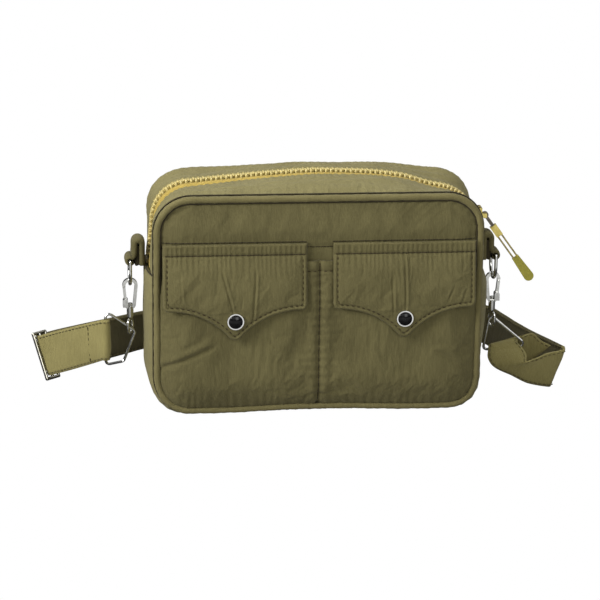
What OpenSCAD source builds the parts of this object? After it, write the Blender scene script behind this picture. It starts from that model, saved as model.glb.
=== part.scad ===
// Small padded crossbody purse with two front flap pockets, a top zip and a clip-on strap.
// Millimetres, +Z up. The origin is the middle of the base, on the surface that the purse stands on.
// The front faces -Y and +X is to the right of someone who looks at the front.

/* [Body] */
// Width of the front over its piping
panel_w = 230; // [210:1:250]
// Height of the front over its piping
panel_h = 154; // [140:1:170]
// Depth between the outer faces of the front and the back
body_d = 78; // [66:1:90]
// Corner radius of the front and back, over the piping
corner_r = 26; // [22:1:30]
// How far the gusset swells past the piping
bulge = 4; // [3:0.5:5]
// Thickness of the padded outer cloth
cloth_t = 2; // [1.6:0.1:2.2]
// Diameter of the piping
piping_d = 4; // [3:0.5:5]
// Thickness of the wadding behind the front and back
wadding_t = 2; // [1.5:0.5:3]
// Thickness of the lining
lining_t = 1.2; // [0.8:0.1:1.6]
// Height of the seam where the zip gusset meets the lower gusset
seam_z = 100; // [90:1:106]

/* [Pockets] */
// Height of the pockets' top edge
pocket_top = 112; // [104:1:114]
// Room inside a pocket, front to back
pocket_room = 5.2; // [5.2:0.1:6]
// Thickness of the pocket cloth
pocket_t = 1.4; // [1:0.1:2]
// Width of one flap
flap_w = 100; // [90:1:102]
// Gap between the two flaps
flap_gap = 18; // [14:1:24]
// Height of the flaps' top edge
flap_top = 125; // [123:0.5:130]
// Height of the sewn band along a flap's top
flap_band_h = 8; // [6:0.5:9]
// Drop of a flap's side edges below its top edge
flap_side = 46; // [40:1:50]
// Drop of a flap's tip below its top edge
flap_tip = 67; // [60:1:72]
// Thickness of a flap
flap_t = 1.8; // [1.4:0.1:2.2]
// Diameter of a snap's rim
snap_d = 11.5; // [10:0.5:13]

/* [Zip] */
// Half the length of the mouth's straight, opening stretch
mouth_half = 80; // [70:1:82]
// Distance between neighbouring teeth of one row
tooth_pitch = 3.5; // [3.2:0.1:4]
// Length of a tooth along the zip
tooth_len = 1.4; // [1.2:0.05:1.5]
// Height of a tooth
tooth_h = 3.2; // [2.8:0.1:3.4]
// Width of one tape, from teeth to hidden edge
tape_w = 11; // [9:0.5:13]
// Length of the slider
slider_len = 12; // [11:0.5:13]
// Lean of the puller away from the side, in degrees
pull_lean = 36; // [36:0.5:42]
// Length of the puller's rubber tag
tag_len = 21; // [16:1:24]

/* [Strap hardware] */
// Width of the side tabs
tab_w = 16; // [12:0.5:17]
// How far a D-ring hangs out from the gusset
hang_out = 10.6; // [10:0.1:12]
// Height of a D-ring's bar
bar_z = 104; // [103:0.5:105]
// Width of a D-ring between the middles of its legs
d_ring_w = 20; // [19:0.5:24]
// Length of a D-ring's straight legs
d_ring_leg = 8; // [7:0.5:9]
// Wire diameter of the D-rings
ring_wire = 2.4; // [2:0.1:2.6]
// Outer width of a hook's loop at its top
hook_w = 10.8; // [10.4:0.1:11.6]
// Outer width of a hook's loop at its bottom
hook_low_w = 8.2; // [8:0.1:8.6]
// Width of the metal of a hook's loop
hook_wall = 2.2; // [2:0.1:2.3]
// Thickness of a hook
hook_t = 3.2; // [2.8:0.1:3.6]
// Length of a hook's loop between the centres of its round ends
hook_len = 13.4; // [13:0.1:15]
// Wire diameter of the triangle rings
strap_wire = 2; // [1.6:0.1:2.4]
// Wire diameter of the strap slider
slider_wire = 2.4; // [2:0.1:2.4]

/* [Strap] */
// Width of the strap
strap_w = 30; // [26:0.5:30]
// Thickness of the strap
strap_t = 2; // [1.6:0.1:2.4]

/* [Hidden] */
$fn = 64;

// Clearance between neighbouring pieces
gap = 0.3;
// Running clearance of a pin in its hole, on the radius
pin_gap = 0.05;

// Colours
olive = [0.40, 0.36, 0.24];
olive_light = [0.55, 0.50, 0.34];
lining_grey = [0.30, 0.28, 0.24];
gold = [0.78, 0.62, 0.25];
mustard = [0.62, 0.57, 0.16];
nickel = [0.75, 0.75, 0.76];
black = [0.06, 0.06, 0.06];
foam = [0.85, 0.84, 0.80];

// Body outline. Heights are above the base, and depth runs towards the front.
half_w = panel_w / 2;
panel_bottom = bulge;
panel_top = bulge + panel_h;
corner_x = half_w - corner_r;
corner_low = panel_bottom + corner_r;
corner_high = panel_top - corner_r;
face = body_d / 2;
piping_r = piping_d / 2;
piping_stand = 0.6;
piping_depth = face - piping_r + piping_stand;
edge_depth = piping_depth - piping_r - gap;
shoulder_w = 13.3;
shoulder_depth = edge_depth - shoulder_w;
panel_inset = piping_d + gap;
layer_step = 1;
wadding_inset = panel_inset + layer_step;
lining_inset = wadding_inset + layer_step;
wadding_front = face - cloth_t - gap;
lining_front = wadding_front - wadding_t - gap;
lining_drop = 6;
lining_top = panel_top - cloth_t - lining_drop;

// Pockets and flaps, as depths towards the front
pocket_inner = face + pocket_room;
pocket_front = pocket_inner + pocket_t;
pocket_rim = 1.6;
pocket_seam_w = 3;
socket_h = 2.2;
flap_back = pocket_front + gap + socket_h + gap;
flap_front = flap_back + flap_t;
flap_x = (flap_gap + flap_w) / 2;
flap_hinge_z = flap_top - flap_band_h;
flap_root_room = 3.6;
flap_root_back = face + flap_root_room;
flap_hinge_depth = flap_root_back + flap_t;
flap_step_h = 5.5;
flap_kink_z = flap_hinge_z - flap_step_h;
flap_corner_z = flap_top - flap_side;
flap_tip_z = flap_top - flap_tip;
flap_bend = 0.8;
flap_edge_r = 4;
flap_tip_r = 5;
snap_above_tip = 14;
snap_z = flap_tip_z + snap_above_tip;
snap_post_d = 3;
stud_head_d = 3.6;
stud_tail_d = 2;
stud_back_t = 0.8;
socket_d = 8;
snap_rim_wall = 0.8;
snap_cap_seat = 0.6;

// Zip, as offsets outwards from the piping line
tape_t = 0.5;
tape_gap = 0.2;
tape_low = bulge - cloth_t - tape_gap - tape_t;
tooth_reach = 3;
tooth_mesh = 1.3;
zip_gap = 5;
travel_clear = 1;
tooth_start = 6;
tooth_first_z = seam_z + tooth_start;
slider_side_gap = 0.4;
slider_half_w = zip_gap - slider_side_gap;
slider_wall = 1;
slider_top = tooth_h + gap;
slider_under = -1;
bridge_rise = 2.8;
bridge_n = slider_top + slider_wall + bridge_rise;
bridge_d = 1.6;
cheek_in = 2;
cheek_t = 1;
bridge_x = half_w + bridge_n;
bridge_z = corner_high;
link_r = 2.4;
link_t = 2.6;
link_len = 10;
clasp_len = 9;
wire_len = 20;
pull_wire_d = 1.2;
pull_wire_pitch = 3;
tag_t = 2.6;

// Hanging hardware
hang_x = half_w + bulge + hang_out;
tab_t = 3.9;
tab_arch_r = 4.6;
tab_arch_x = half_w + bulge + gap + tab_arch_r;
tab_rise = 12;
tab_arch_z = bar_z + tab_rise;
tab_eye_r = 3.2;
wire_r = ring_wire / 2;
d_ring_r = d_ring_w / 2;
d_ring_low = bar_z - d_ring_leg - d_ring_r;
hook_r = hook_w / 2;
hook_in = hook_r - hook_wall;
hook_low_r = hook_low_w / 2;
hook_low_in = hook_low_r - hook_wall;
hook_lean = asin((hook_r - hook_low_r) / hook_len);
hook_slack = 0.4;
hook_high = d_ring_low + wire_r + hook_slack - hook_in;
hook_low = hook_high - hook_len;
gate_mid_r = hook_low_r - hook_wall / 2;
gate_rise = 2.6;
gate_x = gate_mid_r * cos(hook_lean) + gate_rise * sin(hook_lean);
gate_z = hook_low - gate_mid_r * sin(hook_lean) + gate_rise * cos(hook_lean);
gate_end_drop = 0.7;
gate_len = hook_len * cos(hook_lean) - gate_rise - gate_end_drop;
gate_half = 1;
gate_slot = 0.7;
gate_room = 0.4;
spring_room = 0.2;
pin_r = 0.6;
cheek_near = hook_t / 2 + gap;
gate_cheek_t = 0.8;
cheek_far = cheek_near + gate_cheek_t;
barrel_r = 2.4;
barrel_len = 5.3;
barrel_low = hook_low - hook_low_r - barrel_len;
post_r = 1;
post_head_r = 1.6;
post_head_h = 1.2;
eye_wire_r = 1;
eye_r = 3.8;
eye_straight = 3;
eye_turn = 26;
eye_room = 0.5;
eye_high = barrel_low - eye_room - eye_wire_r - eye_r;
eye_low = eye_high - eye_straight;
eye_bottom = eye_low - eye_r;
strap_wire_r = strap_wire / 2;
slider_wire_r = slider_wire / 2;

// Triangle rings, as points in the plane across the front. Each list starts with the strap's bar.
ring_seat = eye_bottom + eye_wire_r + gap + strap_wire_r;
left_ring = [
    [-hang_x - 17.4, ring_seat - 26],
    [-hang_x - 17.4, ring_seat + 14],
    [-hang_x + 3.6, ring_seat - 1.2],
    [-hang_x - 4.8, ring_seat - 23.5]
];
right_ring = [
    [hang_x - 5.4, ring_seat - 20.5],
    [hang_x + 27.6, ring_seat - 18.5],
    [hang_x - 1, ring_seat + 6]
];
ring_bend_r = 2.5;

// Strap slider, and where the strap runs. Plan points are [x, y].
slider_bar_gap = 5.6;
slider_bar_z = 18.5;
slider_half_len = 17;
wrap_r = strap_wire_r + 2 * gap + strap_t / 2;
left_bar = left_ring[0];
left_strap_drop = 1.1;
left_bar_z = (left_ring[0][1] + left_ring[1][1]) / 2 - left_strap_drop;
slider_bar = [left_bar[0] - 42, 47];
left_run = slider_bar - [left_bar[0], 0];
left_run_angle = atan2(left_run[1], left_run[0]);
back_run_angle = 40;
slider_lean = [-0.278, 0.331, 0.9];
strap_lift = 0.5;
strap_mid = strap_w / 2 + strap_lift;
// The strap behind the purse: depth of its first run, step to the next, and where the runs turn
run_behind = 22;
run_first_y = body_d / 2 + run_behind;
run_step = 13;
run_half = 68;
run_count = 5;
run_turn_r = run_step / 2;
run_last_y = run_first_y + run_step * (run_count - 1);
// The strap's corner at the right, where it folds forward to its ring
right_fold = [hang_x + 50.4, 3];
// Length of the left end's sewn tail, its distance from the run it lies on, and the first run to the back
left_tail = 16;
tail_off = 0.9;
back_run_len = 97;

// Shared shapes

// Stands a shape drawn as [across, height, depth towards the front] upright
module upright() {
    rotate([90, 0, 0]) children();
}

// Extrudes a shape drawn as [across, height] by a thickness about the middle of the depth
module sheet_across(thickness) {
    upright() translate([0, 0, -thickness / 2]) linear_extrude(thickness) children();
}

// A rectangle with round corners, drawn inside the piping line by an inset
module outline(inset) {
    r = corner_r - inset;
    w = panel_w - 2 * inset;
    h = panel_h - 2 * inset;
    translate([0, panel_bottom + panel_h / 2]) {
        square([w - 2 * r, h], center = true);
        square([w, h - 2 * r], center = true);
        for (sx = [-1, 1], sy = [-1, 1]) {
            translate([sx * (w / 2 - r), sy * (h / 2 - r)]) circle(r);
        }
    }
}

// A plate with the body's outline, between two depths
module plate(inset, from_depth, to_depth) {
    upright() translate([0, 0, from_depth]) linear_extrude(to_depth - from_depth) outline(inset);
}

// A profile of [outward, depth] drawn out to a length
module stretch(length) {
    rotate([90, 0, 0]) linear_extrude(length) children();
}

// Such a profile run up the right side, between two heights
module side_run(low, high) {
    translate([half_w, high, 0]) stretch(high - low) children();
}

// The same run along the top, between two places across
module top_run(left, right) {
    rotate([0, 0, 90]) translate([panel_top, -left, 0]) stretch(right - left) children();
}

// The same run along the bottom
module bottom_run(left, right) {
    rotate([0, 0, -90]) translate([-panel_bottom, right, 0]) stretch(right - left) children();
}

// The same profile round the upper or the lower right corner
module corner_run(upper) {
    translate([corner_x, upper ? corner_high : corner_low, 0])
        rotate([0, 0, upper ? 0 : -90]) rotate_extrude(angle = 90) translate([corner_r, 0]) children();
}

module both_sides() {
    children();
    mirror([1, 0, 0]) children();
}

// The zip gusset's stretch on the right: side, corner and the end of the top
module right_stretch(low) {
    side_run(low, corner_high) children();
    corner_run(true) children();
    top_run(mouth_half + gap, corner_x) children();
}

function mix(a, b, s) = a + (b - a) * s;
function clamp01(s) = min(1, max(0, s));
function unit(v) = v / norm(v);
function arc(centre, r, from, to, steps) =
    [for (i = [0:steps]) let (a = mix(from, to, i / steps)) centre + r * [cos(a), sin(a)]];

// Front, back and gusset

module front_panel() {
    color(olive) plate(panel_inset, face - cloth_t, face);
}

module back_panel() {
    color(olive) plate(panel_inset, -face, cloth_t - face);
}

module front_wadding() {
    color(foam) plate(wadding_inset, wadding_front - wadding_t, wadding_front);
}

module back_wadding() {
    color(foam) plate(wadding_inset, -wadding_front, wadding_t - wadding_front);
}

// A sewn tub that is open at the top, under the zip
module lining() {
    color(lining_grey) intersection() {
        difference() {
            plate(lining_inset, -lining_front, lining_front);
            plate(lining_inset + lining_t, lining_t - lining_front, lining_front - lining_t);
        }
        translate([-half_w, -body_d, 0]) cube([panel_w, 2 * body_d, lining_top]);
    }
}

module gusset_profile() {
    polygon([
        [0, -edge_depth], [bulge, -shoulder_depth], [bulge, shoulder_depth], [0, edge_depth],
        [-cloth_t, edge_depth], [bulge - cloth_t, shoulder_depth],
        [bulge - cloth_t, -shoulder_depth], [-cloth_t, -edge_depth]
    ]);
}

module lower_gusset() {
    color(olive) upright() {
        both_sides() {
            side_run(corner_low, seam_z - gap / 2) gusset_profile();
            corner_run(false) gusset_profile();
        }
        bottom_run(-corner_x, corner_x) gusset_profile();
    }
}

module strip_profile() {
    polygon([
        [0, edge_depth], [bulge, shoulder_depth], [bulge, zip_gap],
        [bulge - cloth_t, zip_gap], [bulge - cloth_t, shoulder_depth], [-cloth_t, edge_depth]
    ]);
}

module zip_gusset_right() {
    color(olive) upright() {
        right_stretch(seam_z + gap / 2) strip_profile();
        right_stretch(seam_z + gap / 2) mirror([0, 1]) strip_profile();
    }
}

module zip_gusset_left() {
    mirror([1, 0, 0]) zip_gusset_right();
}

module front_top_strip() {
    color(olive_light) upright() top_run(-mouth_half, mouth_half) strip_profile();
}

module rear_top_strip() {
    mirror([0, 1, 0]) front_top_strip();
}

module piping_profile() {
    translate([-piping_r, piping_depth]) circle(piping_r);
}

module front_piping() {
    color(olive_light) upright() {
        both_sides() {
            side_run(corner_low, corner_high) piping_profile();
            corner_run(true) piping_profile();
            corner_run(false) piping_profile();
        }
        top_run(-corner_x, corner_x) piping_profile();
        bottom_run(-corner_x, corner_x) piping_profile();
    }
}

module back_piping() {
    mirror([0, 1, 0]) front_piping();
}

// Pockets, flaps and snaps

module pocket_outline(inset) {
    intersection() {
        outline(panel_inset + inset);
        translate([-half_w, 0]) square([panel_w, pocket_top]);
    }
}

// The rooms of the two pockets, open at the top
module pocket_rooms() {
    difference() {
        union() {
            pocket_outline(pocket_rim);
            translate([-half_w + panel_inset + pocket_rim, pocket_top - 1])
                square([panel_w - 2 * (panel_inset + pocket_rim), 2]);
        }
        translate([-pocket_seam_w / 2, 0]) square([pocket_seam_w, panel_h]);
    }
}

module snap_places() {
    for (side = [-1, 1]) {
        translate([side * flap_x, 0, snap_z]) rotate([90, 0, 0]) children();
    }
}

module pocket_panel() {
    color(olive) difference() {
        upright() difference() {
            translate([0, 0, face]) linear_extrude(pocket_room + pocket_t) pocket_outline(0);
            translate([0, 0, face - 1]) linear_extrude(pocket_room + 1) pocket_rooms();
        }
        snap_places() cylinder(d = stud_tail_d + 2 * pin_gap, h = body_d);
    }
}

// The sewn top edges of the two flaps
module flap_bands() {
    color(olive) for (side = [-1, 1]) {
        translate([side * flap_x - flap_w / 2, -flap_hinge_depth + 1, flap_hinge_z + gap])
            cube([flap_w, flap_hinge_depth - 1 - face, flap_band_h - gap]);
    }
}

// A pointed flap, drawn about its own middle: two hollow curves that meet in a round tip
module flap_outline() {
    half = flap_w / 2 - flap_edge_r;
    drop = flap_corner_z - flap_tip_z - flap_tip_r;
    curve_r = (half * half + drop * drop - flap_tip_r * flap_tip_r) / (2 * (drop + flap_tip_r));
    swing = asin(half / (curve_r + flap_tip_r));
    polygon(concat(
        [[-flap_w / 2, flap_top], [-flap_w / 2, flap_corner_z + flap_edge_r]],
        arc([-half, flap_corner_z + flap_edge_r], flap_edge_r, 180, 270, 4),
        arc([-half, flap_corner_z - curve_r], curve_r, 90, 90 - swing, 8),
        arc([0, flap_tip_z + flap_tip_r], flap_tip_r, 270 - swing, 270 + swing, 6),
        arc([half, flap_corner_z - curve_r], curve_r, 90 + swing, 90, 8),
        arc([half, flap_corner_z + flap_edge_r], flap_edge_r, 270, 360, 4),
        [[flap_w / 2, flap_top]]
    ));
}

// Side view of a flap as [depth, height]: it steps out over the pocket and hangs straight
module flap_side_view() {
    polygon([
        [flap_hinge_depth, flap_hinge_z], [flap_front, flap_kink_z + flap_bend], [flap_front, 0],
        [flap_back, 0], [flap_back, flap_kink_z], [flap_root_back, flap_hinge_z]
    ]);
}

module flap(side) {
    color(olive) translate([side * flap_x, 0, 0]) difference() {
        intersection() {
            upright() linear_extrude(body_d) flap_outline();
            rotate([90, 0, -90]) translate([0, 0, -flap_w / 2]) linear_extrude(flap_w) flap_side_view();
        }
        translate([0, 0, snap_z]) rotate([90, 0, 0]) cylinder(d = snap_post_d + 2 * pin_gap, h = body_d);
    }
}

module flap_left() {
    flap(-1);
}

module flap_right() {
    flap(1);
}

// Puts a snap's piece, drawn along its own axis from a depth, on one flap
module at_snap(side, depth) {
    translate([side * flap_x, -depth, snap_z]) rotate([90, 0, 0]) children();
}

module snap_rim(side) {
    rim_h = 1.6;
    color(nickel) at_snap(side, flap_front) {
        difference() {
            cylinder(d = snap_d, h = rim_h);
            translate([0, 0, snap_cap_seat]) cylinder(d = snap_d - 2 * snap_rim_wall, h = rim_h);
        }
        translate([0, 0, -flap_t]) cylinder(d = snap_post_d, h = flap_t + gap);
    }
}

module snap_cap(side) {
    cap_r = snap_d / 2 - snap_rim_wall - pin_gap;
    cap_side = 0.6;
    dome_h = 1.8;
    dome_r = (cap_r * cap_r + dome_h * dome_h) / (2 * dome_h);
    color(black) at_snap(side, flap_front + snap_cap_seat) intersection() {
        cylinder(r = cap_r, h = dome_h + 1);
        translate([0, 0, cap_side + dome_h - dome_r]) sphere(dome_r);
    }
}

module snap_socket(side) {
    socket_floor = 0.6;
    color(nickel) at_snap(side, flap_back - socket_h) difference() {
        cylinder(d = socket_d, h = socket_h);
        translate([0, 0, -1]) cylinder(d = stud_head_d + 2 * gap, h = socket_h + 1 - socket_floor);
    }
}

module snap_rim_left() {
    snap_rim(-1);
}

module snap_rim_right() {
    snap_rim(1);
}

module snap_cap_left() {
    snap_cap(-1);
}

module snap_cap_right() {
    snap_cap(1);
}

module snap_socket_left() {
    snap_socket(-1);
}

module snap_socket_right() {
    snap_socket(1);
}

module snap_studs() {
    foot_t = 0.2;
    head_h = 1.6;
    tail_h = pocket_t + stud_back_t;
    color(nickel) for (side = [-1, 1]) {
        at_snap(side, pocket_front) {
            cylinder(d = socket_d, h = foot_t);
            cylinder(d = stud_head_d, h = head_h);
            translate([0, 0, -tail_h]) cylinder(d = stud_tail_d, h = tail_h);
        }
    }
}

module snap_stud_backs() {
    color(nickel) for (side = [-1, 1]) {
        at_snap(side, pocket_inner - stud_back_t) difference() {
            cylinder(d = socket_d, h = stud_back_t);
            translate([0, 0, -1]) cylinder(d = stud_tail_d + 2 * pin_gap, h = stud_back_t + 2);
        }
    }
}

// Zip

module tape_profile() {
    translate([tape_low, tooth_reach]) square([tape_t, tape_w]);
}

module zip_tape_front() {
    color(gold) upright() top_run(-mouth_half, mouth_half) tape_profile();
}

module zip_tape_rear() {
    mirror([0, 1, 0]) zip_tape_front();
}

module zip_tape_right() {
    color(gold) upright() {
        right_stretch(seam_z + gap) tape_profile();
        right_stretch(seam_z + gap) mirror([0, 1]) tape_profile();
    }
}

module zip_tape_left() {
    mirror([1, 0, 0]) zip_tape_right();
}

// One tooth, drawn as [outward, along, depth], that reaches past the middle by mesh
module tooth(mesh) {
    translate([0, -tooth_len / 2, -mesh]) cube([tooth_h, tooth_len, tooth_reach + mesh]);
}

module top_teeth(shift) {
    count = floor((2 * mouth_half - tooth_len - tooth_pitch / 2) / tooth_pitch);
    first = -count * tooth_pitch / 2;
    for (i = [0:count]) {
        x = first + i * tooth_pitch + shift;
        if (abs(x) < mouth_half - tooth_len) {
            translate([x, panel_top, 0]) rotate([0, 0, 90]) tooth(tooth_mesh);
        }
    }
}

module zip_teeth_front() {
    color(gold) upright() top_teeth(-tooth_pitch / 4);
}

module zip_teeth_rear() {
    color(gold) upright() mirror([0, 0, 1]) top_teeth(tooth_pitch / 4);
}

// One row up the right side, round the corner and on to the mouth
module stretch_teeth(shift, mesh) {
    corner_len = (corner_r + tooth_h / 2) * PI / 2;
    side_len = corner_high - tooth_first_z;
    total = side_len + corner_len + corner_x - mouth_half - tooth_len;
    for (s = [shift:tooth_pitch:total]) {
        if (s < side_len) {
            translate([half_w, tooth_first_z + s, 0]) tooth(mesh);
        } else if (s < side_len + corner_len) {
            translate([corner_x, corner_high, 0]) rotate([0, 0, 90 * (s - side_len) / corner_len])
                translate([corner_r, 0, 0]) tooth(mesh);
        } else {
            translate([corner_x - (s - side_len - corner_len), panel_top, 0])
                rotate([0, 0, 90]) tooth(mesh);
        }
    }
}

module stretch_rows(mesh) {
    stretch_teeth(0, mesh);
    mirror([0, 0, 1]) stretch_teeth(tooth_pitch / 2, mesh);
}

// The rows stand apart where the slider's post runs
module zip_teeth_right() {
    color(gold) upright() stretch_rows(-travel_clear);
}

module zip_teeth_left() {
    color(gold) mirror([1, 0, 0]) upright() stretch_rows(tooth_mesh);
}

module zip_stops() {
    stop_len = 3;
    stop_low = seam_z + 1.5;
    color(gold) upright() both_sides() {
        for (flip = [0, 1]) {
            mirror([0, 0, flip]) translate([half_w, stop_low, travel_clear])
                cube([tooth_h, stop_len, tooth_reach - travel_clear]);
        }
    }
}

// Drawn at the right corner as [outward, along, depth]
module zip_slider() {
    flange_t = 1;
    slot_low = 0.3;
    slot_high = 2.4;
    post_len = 2.5;
    post_half = travel_clear - gap;
    cheek_len = 3;
    bridge_len = 2 * cheek_in + cheek_t;
    color(gold) upright() translate([half_w, corner_high, 0]) {
        difference() {
            translate([slider_under - slider_wall, -slider_len / 2, -slider_half_w])
                cube([slider_top + 2 * slider_wall - slider_under, slider_len, 2 * slider_half_w]);
            translate([slider_under, -slider_len, flange_t - slider_half_w])
                cube([slider_top - slider_under, 2 * slider_len, 2 * (slider_half_w - flange_t)]);
            translate([slot_low, -slider_len, -2 * slider_half_w])
                cube([slot_high - slot_low, 2 * slider_len, 4 * slider_half_w]);
        }
        translate([slider_under, slider_len / 2 - post_len, -post_half])
            cube([slider_top - slider_under, post_len, 2 * post_half]);
        for (flip = [0, 1]) {
            mirror([0, 0, flip]) translate([slider_top + slider_wall, -cheek_len / 2, cheek_in])
                cube([bridge_n - slider_top, cheek_len, cheek_t]);
        }
        translate([bridge_n, 0, 0]) cylinder(d = bridge_d, h = bridge_len, center = true);
    }
}

// Leans a piece drawn straight down from the slider's bridge
module at_puller() {
    translate([bridge_x, 0, bridge_z]) rotate([0, -pull_lean, 0]) children();
}

module zip_pull_link() {
    color(black) at_puller() sheet_across(link_t) difference() {
        union() {
            circle(link_r);
            translate([-link_r / 2, -link_len]) square([link_r, link_len]);
        }
        circle(bridge_d / 2 + gap);
    }
}

module zip_pull_clasp() {
    clasp_w = 5;
    clasp_t = 3.4;
    color(gold) at_puller() translate([-clasp_w / 2, -clasp_t / 2, -link_len - clasp_len])
        cube([clasp_w, clasp_t, clasp_len]);
}

module zip_pull_wires() {
    color(gold) at_puller() for (side = [-1, 1]) {
        translate([side * pull_wire_pitch / 2, 0, -link_len - clasp_len - wire_len])
            cylinder(d = pull_wire_d, h = wire_len);
    }
}

module zip_pull_tag() {
    small_r = 2.6;
    large_r = 3.6;
    top = link_len + clasp_len + wire_len;
    color(mustard) at_puller() sheet_across(tag_t) translate([0, -top]) {
        polygon([
            [-small_r, 0], [small_r, 0],
            [large_r, large_r - tag_len], [-large_r, large_r - tag_len]
        ]);
        translate([0, large_r - tag_len]) circle(large_r);
    }
}

// Tabs, rings and hooks, drawn for the right side

module right_tab() {
    in_r = tab_arch_r - tab_t;
    leg_low = seam_z + 1;
    color(olive) sheet_across(tab_w) difference() {
        union() {
            translate([tab_arch_x, tab_arch_z]) intersection() {
                circle(tab_arch_r);
                translate([-tab_arch_r, 0]) square([2 * tab_arch_r, tab_arch_r]);
            }
            translate([tab_arch_x - tab_arch_r, leg_low]) square([tab_t, tab_arch_z - leg_low]);
            translate([hang_x, bar_z]) circle(tab_eye_r);
            translate([tab_arch_x + in_r, bar_z]) square([tab_t, tab_arch_z - bar_z]);
        }
        translate([tab_arch_x, tab_arch_z]) circle(in_r);
        translate([hang_x, bar_z]) circle(wire_r + gap);
    }
}

module left_tab() {
    mirror([1, 0, 0]) right_tab();
}

module right_d_ring() {
    color(nickel) translate([hang_x, 0, bar_z]) {
        rotate([90, 0, 0]) cylinder(r = wire_r, h = d_ring_w, center = true);
        for (side = [-1, 1]) {
            translate([0, side * d_ring_r, 0]) sphere(wire_r);
            translate([0, side * d_ring_r, -d_ring_leg]) cylinder(r = wire_r, h = d_ring_leg);
        }
        translate([0, 0, -d_ring_leg]) rotate([0, 90, 0]) rotate([0, 0, -90])
            rotate_extrude(angle = 180) translate([d_ring_r, 0]) circle(wire_r);
    }
}

module left_d_ring() {
    mirror([1, 0, 0]) right_d_ring();
}

// A round-ended shape about the hook's own axis that narrows downwards
module hook_shape(inset) {
    high_r = hook_r - inset;
    low_r = hook_low_r - inset;
    high_side = [high_r * cos(hook_lean), hook_high - high_r * sin(hook_lean)];
    low_side = [low_r * cos(hook_lean), hook_low - low_r * sin(hook_lean)];
    translate([0, hook_high]) circle(high_r);
    translate([0, hook_low]) circle(low_r);
    polygon([high_side, low_side, [-low_side[0], low_side[1]], [-high_side[0], high_side[1]]]);
}

// Flat shapes on the gate's pivot, up along the leaning gate
module along_gate() {
    translate([gate_x, gate_z]) rotate(-hook_lean) children();
}

// A hole through the gate's pivot, or the pin in it
module gate_pivot(r, length) {
    translate([gate_x, 0, gate_z]) rotate([90, 0, 0]) cylinder(r = r, h = length, center = true);
}

module right_hook() {
    cheek_r = 1.8;
    cheek_drop = 4.6;
    foot_in = 1.2;
    foot_h = 2;
    slot_edge = gate_half + gate_room;
    barrel_h = hook_low - hook_low_in - barrel_low;
    color(nickel) translate([hang_x, 0, 0]) difference() {
        union() {
            difference() {
                sheet_across(hook_t) hook_shape(0);
                sheet_across(2 * hook_t) hook_shape(hook_wall);
                sheet_across(2 * hook_t) along_gate() translate([-slot_edge, -slot_edge])
                    square([hook_r, slot_edge + gate_len + gap]);
            }
            for (flip = [0, 1]) {
                mirror([0, flip, 0]) translate([0, cheek_far, 0])
                    upright() linear_extrude(gate_cheek_t) translate([gate_x, gate_z]) {
                        circle(cheek_r);
                        translate([-cheek_r, -cheek_drop]) square([2 * cheek_r, cheek_drop]);
                    }
            }
            sheet_across(2 * cheek_far) translate([gate_x - foot_in, gate_z - cheek_drop])
                square([foot_in + cheek_r, foot_h]);
            translate([0, 0, barrel_low]) cylinder(r = barrel_r, h = barrel_h);
        }
        translate([0, 0, barrel_low - 1]) cylinder(r = post_r + gap, h = barrel_h + 2);
        gate_pivot(pin_r + pin_gap, 4 * hook_t);
    }
}

module left_hook() {
    mirror([1, 0, 0]) right_hook();
}

module right_gate() {
    color(nickel) translate([hang_x, 0, 0]) difference() {
        sheet_across(hook_t) along_gate() {
            circle(gate_half);
            translate([-gate_half, 0]) square([2 * gate_half, gate_len]);
        }
        gate_pivot(pin_r + pin_gap, 2 * hook_t);
        sheet_across(2 * gate_slot) along_gate() circle(gate_half + gap);
    }
}

module left_gate() {
    mirror([1, 0, 0]) right_gate();
}

module right_gate_pin() {
    color(nickel) translate([hang_x, 0, 0]) gate_pivot(pin_r, 2 * cheek_far);
}

module left_gate_pin() {
    mirror([1, 0, 0]) right_gate_pin();
}

// The gate's return spring, wound round the pin inside the gate's slot
module right_gate_spring() {
    color(nickel) translate([hang_x, 0, 0]) difference() {
        gate_pivot(gate_half, 2 * (gate_slot - spring_room));
        gate_pivot(pin_r + pin_gap, 4 * gate_slot);
    }
}

module left_gate_spring() {
    mirror([1, 0, 0]) right_gate_spring();
}

module right_swivel_eye() {
    head_z = hook_low - sqrt(hook_low_in * hook_low_in - post_head_r * post_head_r) + gap;
    post_low = eye_high + eye_r;
    color(nickel) translate([hang_x, 0, 0]) rotate([0, 0, eye_turn]) {
        translate([0, 0, head_z]) cylinder(r = post_head_r, h = post_head_h);
        translate([0, 0, post_low]) cylinder(r = post_r, h = head_z + post_head_h - post_low);
        translate([0, 0, eye_high]) rotate([90, 0, 90]) rotate_extrude(angle = 180)
            translate([eye_r, 0]) circle(eye_wire_r);
        translate([0, 0, eye_low]) rotate([90, 0, 90]) rotate([0, 0, 180]) rotate_extrude(angle = 180)
            translate([eye_r, 0]) circle(eye_wire_r);
        for (side = [-1, 1]) {
            translate([0, side * eye_r, eye_low]) cylinder(r = eye_wire_r, h = eye_straight);
        }
    }
}

module left_swivel_eye() {
    mirror([1, 0, 0]) right_swivel_eye();
}

// Sweeps: a closed wire and an open ribbon

// The points of a closed loop with its corners rounded
function rounded_loop(points, r, steps) = let (n = len(points)) [
    for (i = [0:n - 1])
        let (
            p = points[i],
            a = unit(points[(i + n - 1) % n] - p),
            b = unit(points[(i + 1) % n] - p),
            half = acos(a * b) / 2,
            centre = p + unit(a + b) * r / sin(half),
            from = p + a * r / tan(half) - centre,
            to = p + b * r / tan(half) - centre,
            start = atan2(from[1], from[0]),
            turn = (atan2(to[1], to[0]) - start + 540) % 360 - 180
        )
        for (k = [0:steps]) centre + r * [cos(start + turn * k / steps), sin(start + turn * k / steps)]
];

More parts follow.
